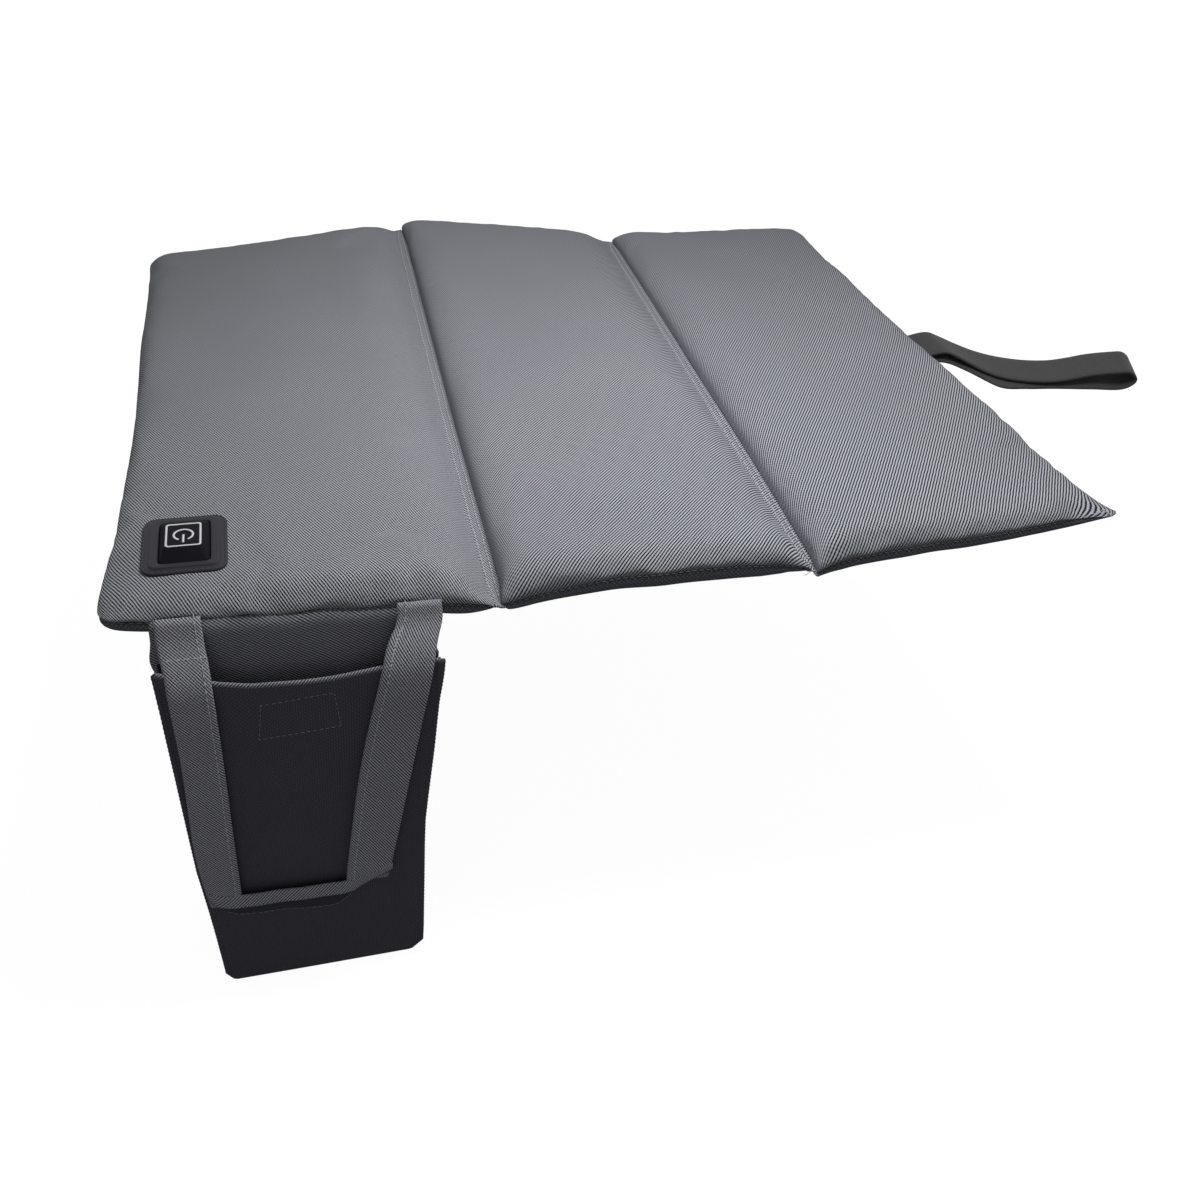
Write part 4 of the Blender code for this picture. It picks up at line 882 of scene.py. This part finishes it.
pouch = {
    "x": -140.5,
    "mouth": -10.8,
    "foot": -178.8,
    "width": 103.0,
    "footWidth": 85.0,
    "rows": 66,
    "columns": 45,
    "seamY": -173.9,
    "backFrom": -2.5,
    "backY": -175.9,
    "pocketY": -176.8,
    "mouthDepth": 9.5,
    "footDepth": 9.0,
    "bow": 1.5,
    "corner": 5.0,
    # the back's left shoulder: how far it stands out, its height and its reach
    "shoulder": (1.9, -16.0, 6.0),
    # right of the pouch's middle, height, radius and half the length of the rod that cuts the eyelet's hole
    "eyelet": (30.0, -40.8, 4.3, 6.0),
    # how far the left and the right side are drawn in, by height
    "sideHeights": (-178.8, -173.4, -165, -150, -136, -120, -110, -98, -84, -70, -58, -28, -20, -15, -10.8),
    "leftIn": (-1.0, 1.3, 1.2, 1.0, 0.7, 0.1, -0.3, -0.2, 0, 0.2, 0.4, 0.7, 0.7, 0.7, 0.7),
    "rightIn": (1.3, 1.4, 1.5, 2.0, 2.4, 2.9, 3.2, 3.4, 2.8, 2.1, 1.5, 0.6, 0.7, 0.8, 0.8),
    "footShift": -2.7,
    "footTilt": 0.031,
    # share across the mouth, height of its rim
    "rim": [(-1, -7.5), (-0.8, -10.6), (-0.58, -14), (-0.37, -16.2), (0, -16.9), (0.22, -16.6), (0.56, -14.6),
            (1, -14.3)],
    # x from the pouch's middle and height of the corners of the stitched patch
    "patch": [(-15.7, -25.2), (11, -22.7), (12.6, -39.3), (-17.9, -41.5)],
    # the tapes behind it: heights of the top and the foot, half the width, shift aside
    "tape": (-24.3, -42.3, 14.5, -2.4),
}


def pouchShare(z):
    return np.clip((pouch["mouth"] - z) / (pouch["mouth"] - pouch["foot"]), 0, 1)


def pouchHalf(z):
    # Half its width, less the cut corners at the foot
    cut = np.maximum(pouch["foot"] + pouch["corner"] - z, 0)
    return (pouch["width"] + (pouch["footWidth"] - pouch["width"]) * pouchShare(z)) / 2 - cut


def pocketDepth(z):
    return pouch["mouthDepth"] + (pouch["footDepth"] - pouch["mouthDepth"]) * pouchShare(z)


def hung(points):
    # The pouch hangs a little askew: its sides draw in, and its foot swings to the left and drops there
    points = np.array(points, float)
    share = pouchShare(points[..., 2])
    across = np.clip((points[..., 0] - pouch["x"]) / 46, -1, 1)
    drawn = [np.interp(points[..., 2], pouch["sideHeights"], pouch[side]) for side in ("leftIn", "rightIn")]
    points[..., 0] += np.where(across < 0, drawn[0], drawn[1]) * -across
    points[..., 2] += pouch["footTilt"] * (points[..., 0] - pouch["x"]) * share
    points[..., 0] += pouch["footShift"] * share
    return points


def pouchHeights(top, count):
    # Rows down to the foot, one of them at the start of the cut corners
    knee = pouch["foot"] + pouch["corner"]
    return np.concatenate([np.linspace(top, knee, count), np.linspace(knee, pouch["foot"], 6)[1:]])


def frontSeam(x):
    # Where the front seam of the left panel lies over a place on the pouch
    return float(seamHeight(panels["left"], x, pad["front"]))


def eyeletCutter(sides=32):
    right, height, radius, reach = pouch["eyelet"]
    middle = pouch["x"] + right
    points = []
    for y in (pouch["backY"] - reach, pouch["backY"] + reach):
        for a in np.linspace(0, 2 * np.pi, sides, endpoint=False):
            points.append((middle + radius * math.cos(a), y, height + radius * math.sin(a)))
    ends = [tuple(range(sides))[::-1], tuple(range(sides, 2 * sides))]
    return makeMesh("eyelet_hole", np.array(points) * mm, cellFaces(2, sides, closed=True) + ends)


def pouchBack():
    start, foot = pouch["backFrom"], pouch["foot"]
    shoulder, shoulderHeight, shoulderReach = pouch["shoulder"]
    grid = [[(x, pouch["seamY"], frontSeam(x) - 0.2)
             for x in pouch["x"] + np.linspace(-1, 1, pouch["columns"]) * float(pouchHalf(0.0))]]
    for z in pouchHeights(start, pouch["rows"]):
        row = []
        for s in np.linspace(-1, 1, pouch["columns"]):
            x = pouch["x"] + s * float(pouchHalf(z))
            top = frontSeam(x) - 3.0
            place = top + (z - start) * (foot - top) / (foot - start)
            x -= shoulder * max(-s, 0) ** 4 * math.exp(-(((z - shoulderHeight) / shoulderReach) ** 2))
            y = pouch["backY"] + 0.35 * ripple(x * 0.8 + z * 0.3, 12, (31, 47)) * smooth(-z / 30)
            row.append((x, y, place))
        grid.append(row)
    # The upper back takes the lighter copy of the navy: painted light against the shade under the pad's front
    obj = clothSheet("pouch_back", hung(grid), 1.2, paintedLightNavyCloth, faceOut=-1)
    cutter = eyeletCutter()
    step = obj.modifiers.new("eyelet hole", "BOOLEAN")
    step.operation, step.solver, step.object = "DIFFERENCE", "EXACT", cutter
    baked(obj)
    bpy.data.objects.remove(cutter)
    return settled(obj, "pouch", ("pouch_back_panel",))


def frontPoint(s, z):
    # A point of the pocket's front: s from -1 to 1 across it
    up = 1 - float(pouchShare(z))
    y = pouch["pocketY"] - float(pocketDepth(z)) - 0.9
    y -= pouch["bow"] * (1 - s * s) ** 0.8 * float(smooth(up, 0, 0.55))
    y += 0.4 * float(ripple(z + s * 8, 21, (37, 59, 83))) * (1 - s * s)
    x = pouch["x"] + s * float(pouchHalf(z)) + 0.6 * max(s, 0) ** 6 * float(smooth(up, 0.86, 1))
    shares, rim = zip(*pouch["rim"])
    return np.array((x, y, z + (np.interp(s, shares, rim) - pouch["mouth"]) * float(smooth(up, 0.8, 1))))


def pouchFront():
    across, heights = np.linspace(-1, 1, pouch["columns"]), pouchHeights(pouch["mouth"], pouch["rows"])
    grid = [[frontPoint(s, z) for s in across] for z in heights[::-1]]
    # The mouth's hem is turned in once: a step down inside the rim
    grid.append(np.array(grid[-1]) + np.array([0, 0.2, 0.5]))
    obj = clothSheet("pouch_front", hung(grid), 1.2, pouchCloth)
    return settled(obj, "pouch", ("pouch_front_panel",))


def mouthHem(count=60):
    # The rolled edge along the mouth catches the light; its paler cloth is a painted highlight
    line = [frontPoint(s, pouch["mouth"]) + np.array([0, 0.2, 0.2]) for s in np.linspace(-1, 1, count)]
    obj = clothBand("pouch_mouth_hem", hung(line), [(0, -0.25, 1)] * count, [2.4] * count, 1.7, paintedLightNavyCloth)
    return settled(obj, "pouch")


def pouchSide():
    # One strip makes both sides and the foot of the pocket
    knee = pouch["foot"] + pouch["corner"]
    down = [(float(pouchHalf(z)) - 0.5, z) for z in np.linspace(pouch["mouth"], knee, 60)]
    foot = float(pouchHalf(pouch["foot"])) - 0.5
    path = [(-x, z) for x, z in down] + [(x, pouch["foot"] + 0.5) for x in np.linspace(-foot, foot, 30)]
    path += down[::-1]
    grid = []
    for x, z in path:
        depth = float(pocketDepth(z))
        row = []
        for t in np.linspace(0, 1, 9):
            inward = 0.5 * math.sin(math.pi * t) * float(smooth((z - pouch["foot"]) / 60))
            rib = 0.14 * math.sin(2 * math.pi * z / 2.4) * math.sin(math.pi * t)
            row.append((pouch["x"] + x - math.copysign(inward + rib, x), pouch["pocketY"] - depth * t, z))
        grid.append(row)
    obj = clothSheet("pouch_side", hung(grid), 1.0, pouchCloth, faceOut=-1)
    return settled(obj, "pouch", ("pouch_gusset",))


def seamRidge(name, side):
    # The turned seam down each front edge of the pocket, drawn up into small ribs
    line, sides, widths = [], [], []
    knee = pouch["foot"] + pouch["corner"]
    heights = [np.linspace(pouch["mouth"], knee, 250), np.linspace(knee, pouch["foot"] + 0.6, 9)[1:]]
    for z in np.concatenate(heights):
        rib = math.sin(2 * math.pi * z / 2.1) * float(smooth((z - knee) / 30))
        point = frontPoint(side, z)
        point[0] += side * (0.1 + 0.05 * rib)
        line.append(point)
        sides.append((1, 0.25 * side, 0))
        flare = 1.2 * float(smooth((z - pouch["mouth"] + 26) / 26)) * (side > 0)
        widths.append(2.4 + 0.1 * rib + flare)
    obj = clothBand(name, hung(line), sides, widths, 1.5, pouchCloth)
    return settled(obj, "pouch")


def tapePatch(name, node, follow):
    top, foot, half, shift = pouch["tape"]
    rows = []
    for z in np.linspace(top, foot, 14):
        row = []
        for x in np.linspace(-half, half, 20) + shift:
            front = frontPoint(x / float(pouchHalf(z)), z)[1] + 1.15
            row.append((pouch["x"] + x, front if follow else pouch["pocketY"] - 0.5, z))
        rows.append(row)
    obj = clothSheet(name, rows, 1.0, tapePile, faceOut=-1)
    return settled(obj, "pouch", (node,))


pouchBack()
pouchFront()
mouthHem()
pouchSide()
seamRidge("pouch_seam_left", -1)
seamRidge("pouch_seam_right", 1)
tapePatch("loop_tape", "loop_tape_patch", False)
tapePatch("hook_tape", "hook_tape_patch", True)
print("pouch sewn")


# Carry handle

handle = {
    "legThickness": 2.4,
    "gripThickness": 4.2,
    "rollThickness": 1.7,
    "hangY": -191.7,
    "rows": 70,
    # x from the pouch's middle of the outer and inner edge, then height
    "leftLeg": [(-49.3, -32.9, 9.0), (-49.2, -32.6, 0), (-47.6, -31.5, -12), (-46.9, -31.6, -46),
                (-48.1, -32.5, -92), (-47.1, -32.8, -114), (-45.8, -33, -126)],
    "rightLeg": [(53.2, 36.6, 7.0), (53, 35.6, 0), (48.8, 29.4, -12), (39.4, 18.7, -58), (29.6, 10.8, -108),
                 (26.5, 9, -122)],
    # how far forward, by height: out of the seam, over the pocket's mouth, then straight down
    "heights": (-126.0, -24.0, -15.0, -9.0, 1.5, 6.5, 11.0),
    "forward": (-191.7, -191.7, -191.2, -188.4, -179.6, -178.0, -174.5),
    # x from the pouch's middle, height of the top and of the underside
    "grip": [(-46.2, -119.8, -121.6), (-44.2, -121.4, -124.6), (-40.5, -122.9, -128.2),
             (-36.5, -123.7, -131.3), (-31, -123.9, -132.4), (-20, -123.9, -132.8), (-10, -124, -133.4),
             (-2, -124.1, -134.3), (4, -124.2, -134.2), (8.5, -124, -131), (12.5, -123.4, -127.6),
             (18, -121.5, -124.2), (24, -119.3, -121), (28.3, -117.4, -118.6)],
}


def handleLeg(name, keys, seed):
    line, sides, widths = [], [], []
    for outer, inner, z in throughPoints(keys, handle["rows"]):
        wave = 0.35 * float(ripple(z, seed, (19, 33, 51)))
        y = float(np.interp(z, handle["heights"], handle["forward"])) - wave
        line.append((pouch["x"] + (outer + inner) / 2, y, z))
        sides.append((-1, 0.03 * wave, 0))
        widths.append(abs(outer - inner))
    line = np.array(line)
    # The line turns gently where it bends
    line[2:-2, 1] = np.convolve(line[:, 1], (0.1, 0.2, 0.4, 0.2, 0.1), "same")[2:-2]
    obj = clothBand(name, line, sides, widths, handle["legThickness"], handleCloth)
    forward = np.cross(np.array(sides), np.gradient(line, axis=0))
    forward /= np.linalg.norm(forward, axis=1, keepdims=True)
    return obj, line, np.array(widths), forward


leftLeg, leftLine, leftWidths, leftForward = handleLeg("handle_leg_left", handle["leftLeg"], 41)
rightLeg, rightLine, rightWidths, rightForward = handleLeg("handle_leg_right", handle["rightLeg"], 43)
# The grip is folded lengthwise, and the edge of the fold is rolled forward along its top
gripLine, gripWidths, gripThick, rollLine, rollWidths = [], [], [], [], []
for across, top, under in throughPoints(handle["grip"], handle["rows"]):
    width = top - under
    thick = handle["gripThickness"] * float(0.4 + 0.6 * smooth(width / 9))
    rolled = min(5.6, 0.85 * width + 2.0)
    x, z = pouch["x"] + across, (top + under) / 2
    y = handle["hangY"] - 0.1 - 0.3 * float(ripple(across, 47, (17, 29)))
    gripLine.append((x, y, z))
    gripWidths.append(width)
    gripThick.append(thick)
    rollLine.append((x, y - thick / 2 + 0.1, z + width / 2 - rolled / 2 + 3.0))
    rollWidths.append(rolled)
upright, leaning = [(0, 0, 1)] * handle["rows"], [(0, 0.4, 1)] * handle["rows"]
# The grip's face takes the darker cloth: painted shade where it is folded under
grip = clothBand("handle_grip", gripLine, upright, gripWidths, gripThick, gripShadeCloth, bulge=0.4)
rollThickness = handle["rollThickness"]
roll = clothBand("handle_grip_roll", rollLine, leaning, rollWidths, rollThickness, edgeCloth, bulge=0.3)
for part in (leftLeg, rightLeg, grip, roll):
    settled(part, "handle")
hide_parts("carry_handle")
print("handle sewn")


# Elastic loop

loop = {
    "width": 25.0,
    "thickness": 1.3,
    # The middle of the band: out along its lower layer, round the tip and back along its upper layer
    "path": [(186.5, 2.4, 4.6), (198, 0, 5), (208.5, -8, 3), (221, -23.5, 1.3), (236, -27, 1),
             (250, -28.7, 1), (270, -32, 1), (286, -34.6, 1.1), (292.8, -35.2, 5.2), (289, -34.2, 9.5),
             (283, -31.8, 8.8), (271.5, -28.8, 6.8), (260, -28.5, 5.2), (249, -28, 4.2), (237, -24, 3.3),
             (225.5, -18.5, 3.4), (217, -12, 4.2), (209.4, -5, 6), (203, -1.5, 8.4), (197, 1.5, 9.6),
             (186.5, 3.9, 6.4)],
    # x where the band starts and ends its turn, and how far its width leans there
    "turnFrom": 200.0,
    "turnTo": 236.0,
    "lean": 0.36,
}


def elasticLoop():
    line = throughPoints(loop["path"], 170)
    lean = loop["lean"] * smooth(line[:, 0], loop["turnFrom"], loop["turnTo"])
    sides = np.column_stack([lean, np.sqrt(1 - lean**2), np.zeros(len(line))])
    obj = clothBand("closing_band", line, sides, [loop["width"]] * len(line), loop["thickness"], elasticBand)
    return settled(obj, "loop", ("elastic_loop",))


elasticLoop()
print("closing band sewn")


# Power button

button = {
    # width, depth, corner radius and height of each ring; the frame's run from its outer to its inner foot
    "frame": [(30.7, 37.3, 5.0, 13.9), (31.0, 37.6, 5.1, 14.3), (30.9, 37.5, 5.0, 14.75),
              (30.4, 37.0, 4.8, 15.05), (29.6, 36.2, 4.5, 15.12), (29.1, 35.7, 4.3, 15.1),
              (28.9, 35.5, 4.2, 14.92), (28.6, 35.2, 4.1, 14.92), (28.4, 35.0, 4.0, 15.1),
              (27.4, 34.2, 3.7, 15.12), (26.2, 33.2, 3.3, 15.12), (25.9, 32.9, 3.2, 15.3),
              (25.6, 32.6, 3.1, 15.7), (25.1, 32.1, 2.9, 15.92), (24.2, 31.4, 2.7, 15.95),
              (19.8, 28.4, 2.0, 15.95), (19.1, 27.7, 1.8, 15.85), (18.8, 27.4, 1.7, 15.5),
              (18.7, 27.3, 1.6, 13.9)],
    "cap": [(18.5, 27.1, 1.5, 14.7), (18.4, 27.0, 1.5, 15.3), (17.7, 26.2, 1.5, 15.9),
            (14.4, 17.8, 1.5, 18.75), (14.1, 17.3, 1.5, 19.1), (13.5, 16.7, 1.4, 19.28),
            (12.5, 15.7, 1.2, 19.3), (8, 10, 1.0, 19.3)],
    "cornerSteps": 8,
    # width, depth, corner radius and stroke of the printed outline
    "outline": (13.1, 15.4, 1.2, 0.74),
    "signRadius": 3.5,
    "signShift": -0.5,
    "signStroke": 0.8,
    "signGap": 27.0,
    "barFrom": 0.1,
    "barTo": -5.2,
    "ink": 0.06,
    "inkFoot": 0.05,
}
centre = (pad["switchX"], pad["switchY"])


def roundRectangle(width, depth, radius):
    points = []
    for cx, cy, start in ((1, 1, 0), (-1, 1, 90), (-1, -1, 180), (1, -1, 270)):
        for a in np.linspace(start, start + 90, button["cornerSteps"]):
            right, away = radius * math.cos(math.radians(a)), radius * math.sin(math.radians(a))
            points.append((cx * (width / 2 - radius) + right, cy * (depth / 2 - radius) + away))
    return np.array(points)


def ringLoft(name, rings, material, closed):
    # Rounded rectangles joined in turn: where closed the last joins the first, else both ends are filled
    count, size = len(rings), 4 * button["cornerSteps"]
    points = np.array([np.column_stack([roundRectangle(w, d, r), np.full(size, z)]) for w, d, r, z in rings])
    points[:, :, :2] += centre
    faces, last = cellFaces(count, size, closed=True), (count - 1) * size
    if closed:
        faces += [(last + i, last + (i + 1) % size, (i + 1) % size, i) for i in range(size)]
    else:
        faces += [list(range(size))[::-1], list(range(last, last + size))]
    return makeMesh(name, points.reshape(-1, 3) * mm, faces, None, material)


bezel = ringLoft("button_frame", button["frame"], bezelRubber, True)
settled(bezel, "left", ("switch_bezel",))
key = ringLoft("button_key", button["cap"], capRubber, False)
settled(key, "button", ("switch_cap",))


def inkPatch(points, faces, inner, outer, closed):
    # A thin ribbon of ink between two lines, with its own thickness
    start, count, top = len(points), len(inner), button["cap"][-1][3]
    foot, head = top - button["inkFoot"], top + button["ink"]
    for ring, z in ((outer, foot), (outer, head), (inner, head), (inner, foot)):
        points.extend((centre[0] + x, centre[1] + button["signShift"] + y, z) for x, y in ring)
    for band in range(4):
        a, b = start + band * count, start + ((band + 1) % 4) * count
        for i in range(count if closed else count - 1):
            j = (i + 1) % count
            faces.append((a + i, a + j, b + j, b + i))
    if not closed:
        faces.append([start + band * count for band in range(4)])
        faces.append([start + band * count + count - 1 for band in range(4)][::-1])


def printedSign():
    # The outline round the key's top and the power sign; its bar points to the front
    points, faces = [], []
    width, depth, radius, stroke = button["outline"]
    inner = roundRectangle(width - 2 * stroke, depth - 2 * stroke, radius - stroke * 0.6)
    inkPatch(points, faces, inner, roundRectangle(width, depth, radius), True)
    angles = np.radians(np.linspace(-90 + button["signGap"], 270 - button["signGap"], 49))
    half = button["signStroke"] / 2
    radii = (button["signRadius"] - half, button["signRadius"] + half)
    inner, outer = [[(r * math.cos(a), r * math.sin(a)) for a in angles] for r in radii]
    inkPatch(points, faces, inner, outer, False)
    ys = np.linspace(button["barTo"], button["barFrom"], 6)
    inkPatch(points, faces, [(-half, y) for y in ys], [(half, y) for y in ys], False)
    obj = makeMesh("power_sign", np.array(points) * mm, faces, None, whiteInk)
    return settled(obj, "button")


printedSign()
print("button moulded")


# Stitches

thread = {"pitch": 2.7, "length": 2.2, "width": 0.5}


def stitchTree():
    tree = bpy.data.node_groups.new("stitch line", "GeometryNodeTree")
    face = tree.interface
    face.new_socket("Geometry", in_out="INPUT", socket_type="NodeSocketGeometry")
    for name in ("Stitch pitch", "Stitch length", "Thread width"):
        face.new_socket(name, in_out="INPUT", socket_type="NodeSocketFloat")
    face.new_socket("Finish", in_out="INPUT", socket_type="NodeSocketMaterial")
    face.new_socket("Seed", in_out="INPUT", socket_type="NodeSocketInt")
    face.new_socket("Geometry", in_out="OUTPUT", socket_type="NodeSocketGeometry")
    given = addNode(tree, "NodeGroupInput").outputs
    curve = addNode(tree, "GeometryNodeMeshToCurve", {"Mesh": given["Geometry"]}).outputs[0]
    spaced = {"Curve": curve, "Length": given["Stitch pitch"]}
    dots = addNode(tree, "GeometryNodeResampleCurve", spaced, mode="LENGTH").outputs[0]
    ballSize = {"Segments": 6, "Rings": 5, "Radius": 0.5}
    ball = addNode(tree, "GeometryNodeMeshUVSphere", ballSize).outputs["Mesh"]
    heading = addNode(tree, "GeometryNodeInputTangent").outputs[0]
    turn = addNode(tree, "FunctionNodeAlignRotationToVector", {"Vector": heading}, axis="X").outputs[0]
    ends = {2: 0.86, 3: 1.1, "Seed": given["Seed"]}
    chance = addNode(tree, "FunctionNodeRandomValue", ends, data_type="FLOAT")
    long = worked(tree, "MULTIPLY", given["Stitch length"], chance.outputs[1])
    width = given["Thread width"]
    size = addNode(tree, "ShaderNodeCombineXYZ", {0: long, 1: width, 2: width})
    placing = {"Points": dots, "Instance": ball, "Rotation": turn, "Scale": size.outputs[0]}
    laid = addNode(tree, "GeometryNodeInstanceOnPoints", placing).outputs[0]
    real = addNode(tree, "GeometryNodeRealizeInstances", {0: laid}).outputs[0]
    done = addNode(tree, "GeometryNodeSetMaterial", {"Geometry": real, "Material": given["Finish"]})
    addNode(tree, "NodeGroupOutput", {0: done.outputs[0]})
    return tree


stitchLine = stitchTree()


def sewn(name, paths, body, pitch=thread["pitch"], length=thread["length"], width=thread["width"],
         finish=sewingThread, seed=1):
    points, edges = [], []
    for path in paths:
        start = len(points)
        points += [Vector(p) * mm for p in path]
        edges += [(start + i, start + i + 1) for i in range(len(path) - 1)]
    data = bpy.data.meshes.new(name)
    data.from_pydata(points, edges, [])
    obj = bpy.data.objects.new(name, data)
    scene.collection.objects.link(obj)
    step = obj.modifiers.new("stitches", "NODES")
    step.node_group = stitchLine
    sizes = {"Stitch pitch": pitch * mm, "Stitch length": length * mm, "Thread width": width * mm}
    sizes.update({"Finish": finish, "Seed": seed})
    for item in stitchLine.interface.items_tree:
        if item.in_out == "INPUT" and item.name in sizes:
            step[item.identifier] = sizes[item.name]
    baked(obj)
    obj.data.shade_smooth()
    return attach(obj, body)


def foldLine(facts, x, lift):
    line = []
    for y in np.linspace(pad["front"] + 7, pad["back"] - 2, 150):
        place = x + 0.2 * float(ripple(y, 5, (23, 41)))
        line.append((place, y, float(stripHeight(facts, place, y)) + strip["thickness"] / 2 + lift))
    return bent(line)


def stripRows(facts):
    # A row along each side of a strip; the one on its right climbs the foot of the steep side a little
    low, high = stripEdges(facts)
    return foldLine(facts, low + strip["lowInset"], 0.2), foldLine(facts, high - strip["highInset"], 0.6)


leftRows, rightRows = stripRows(strips["left"]), stripRows(strips["right"])
sewn("left_fold_stitches", [leftRows[0]], "left", seed=2)
sewn("middle_fold_stitches", [leftRows[1], rightRows[0]], "middle", seed=3)
sewn("right_fold_stitches", [rightRows[1]], "right", seed=4)


def frontSeamLine(panel, fromLow, fromHigh):
    # The dark thread in the groove between the top and the bottom cover
    low, high = panel["low"], panel["high"]
    line = []
    for x in np.linspace(low + fromLow, high - fromHigh, 90):
        share = (x - (low + high) / 2) / ((high - low) / 2)
        y = pad["front"] + 0.55 + pad["drawIn"] * (1 - share**2)
        line.append((x, y, float(seamHeight(panel, x, y))))
    return bent(line)


seamEnds = {"left": (9, 3), "middle": (3, 3), "right": (3, 20)}
for panelName, (fromLow, fromHigh) in seamEnds.items():
    line = frontSeamLine(panels[panelName], fromLow, fromHigh)
    sewn(f"{panelName}_seam_thread", [line], panelName, 2.8, 2.9, 0.9, darkThread, seed=9)


def patchLine():
    corners = pouch["patch"] + pouch["patch"][:1]
    line = []
    for (a, b), (c, d) in zip(corners, corners[1:]):
        for t in np.linspace(0, 1, 14, endpoint=False):
            x, z = a + (c - a) * t, b + (d - b) * t
            point = frontPoint(x / float(pouchHalf(z)), z)
            line.append((pouch["x"] + x, point[1] - 0.72, z))
    return line + [line[0]]


sewn("patch_stitches", [patchLine()], "pouch", pitch=2.3, length=1.9, width=0.28, finish=greyThread, seed=6)


def legStitches(line, widths, forward, toInner, offset):
    out = forward * (handle["legThickness"] / 2 + 0.06)
    aside = (toInner * (widths / 2 - offset))[:, None] * np.array((1.0, 0, 0))
    keep = line[:, 2] > -121
    return (line + out + aside)[keep]


leftRow = legStitches(leftLine, leftWidths, leftForward, 1, 2.3)
rightRow = legStitches(rightLine, rightWidths, rightForward, -1, 3.0)
# Across the top of the left leg, where it is sewn down
legTopHeight = -3.2
legTopY = float(np.interp(legTopHeight, handle["heights"], handle["forward"]))
legTopY = legTopY - handle["legThickness"] / 2 - 0.2
legTop = [(pouch["x"] + x, legTopY, legTopHeight) for x in np.linspace(-45.5, -33, 12)]
sewn("handle_stitches", [leftRow, rightRow, legTop], "handle", pitch=3.1, length=2.6, width=0.4, seed=7)
gripRow = [(x, y - thick / 2 - 0.2, z - width / 2 + 1.1)
           for (x, y, z), width, thick in zip(gripLine, gripWidths, gripThick)]
sewn("grip_stitches", [gripRow[10:54]], "handle", 2.4, 2.3, 0.24, greyThread, seed=11)
frameLine = [(centre[0] + x, centre[1] + y, 14.98) for x, y in roundRectangle(28.75, 35.35, 4.15)]
frameLine.append(frameLine[0])
sewn("frame_stitches", [frameLine], "left", pitch=2.2, length=1.6, width=0.34, finish=darkThread, seed=8)
# Thread ends left long where the machine turned: at the front right ear, between the lips, behind the fold
cutEnds = {
    "right": [
        [(180.9, -174.7, 14.6), (185.4, -172.7, 14.6), (188.0, -173.1, 14.6), (192.5, -170.3, 14.6),
         (192.9, -175.0, 14.6)],
        [(189.5, -169.0, 14.6), (189.7, -172.6, 14.6), (193.4, -172.0, 14.6)],
        [(58.1, -178.0, 1.8), (60.8, -178.0, 3.4), (64.5, -178.0, 1.8)],
    ],
    "left": [
        [(-62.9, 178.5, 9.4), (-59.9, 178.5, 11.4), (-56.9, 178.5, 13.1)],
        [(-61.0, 178.5, 12.9), (-59.3, 178.5, 10.7), (-57.0, 178.5, 9.1)],
    ],
}
for panelName, paths in cutEnds.items():
    lines = [throughPoints(path, 24) for path in paths]
    sewn(f"{panelName}_thread_ends", lines, panelName, pitch=1.0, length=1.5, width=0.36, seed=12)
# Over the right row near the leg's top, where it bends in towards the seam, a second, denser run of pale
# stitches makes the row brighter
bright = [p for p in rightRow if -13 < p[2] < -1]
sewn("handle_doubled_top_stitches", [bright], "handle", pitch=1.8, length=2.0, width=0.5, seed=13)
print("stitches sewn")


# Light and floor

light = {
    "worldStrength": 0.12,
    # place, aim, size, power
    "key": ((0.055, -0.105, 0.37), (0.055, -0.105, 0.0), 0.22, 1.24),
    "fill": ((-0.4, -1.5, 0.5), (-0.05, -0.1, -0.05), 1.0, 1.3),
    "floorDrop": -0.1815,
    "floorHalf": 6.0,
    "floorGrey": "#888888",
    "floorGlow": 0.95,
}


def softLamp(name, place, aim, size, power):
    data = bpy.data.lights.new(name, "AREA")
    data.shape = "SQUARE"
    data.size = size
    data.energy = power
    obj = bpy.data.objects.new(name, data)
    towards = Vector(aim) - Vector(place)
    obj.matrix_world = Matrix.Translation(place) @ towards.to_track_quat("-Z", "Y").to_matrix().to_4x4()
    obj.visible_camera = False
    scene.collection.objects.link(obj)


for lampName in ("key", "fill"):
    softLamp(lampName, *light[lampName])

world = bpy.data.worlds.new("studio")
scene.world = world
world.use_nodes = True
worldTree = world.node_tree
worldTree.nodes.clear()
ray = addNode(worldTree, "ShaderNodeLightPath").outputs
seen = worked(worldTree, "MAXIMUM", ray["Is Camera Ray"], ray["Is Glossy Ray"])
seen = worked(worldTree, "MAXIMUM", seen, ray["Is Transmission Ray"])
strength = mapped(worldTree, seen, light["worldStrength"], 1.0)
sky = addNode(worldTree, "ShaderNodeBackground", {"Color": (1, 1, 1, 1), "Strength": strength})
addNode(worldTree, "ShaderNodeOutputWorld", {"Surface": sky.outputs[0]})

floorFinish, floorTree, floorShader = newMaterial("white sweep")
# A painted paper sweep: matt grey, lifted to plain white where the camera sees it, with the shadow kept
floorShader.inputs["Base Color"].default_value = toLinear(light["floorGrey"])
floorShader.inputs["Roughness"].default_value = 0.9
floorRay = addNode(floorTree, "ShaderNodeLightPath").outputs
glow = worked(floorTree, "MULTIPLY", floorRay["Is Camera Ray"], light["floorGlow"])
floorShader.inputs["Emission Color"].default_value = (1, 1, 1, 1)
floorTree.links.new(glow, floorShader.inputs["Emission Strength"])
reach, drop = light["floorHalf"], light["floorDrop"]
floorCorners = [(-reach, -reach, drop), (reach, -reach, drop), (reach, reach, drop), (-reach, reach, drop)]
floor = makeMesh("floor", floorCorners, [(0, 1, 2, 3)], None, floorFinish)
print("lit")
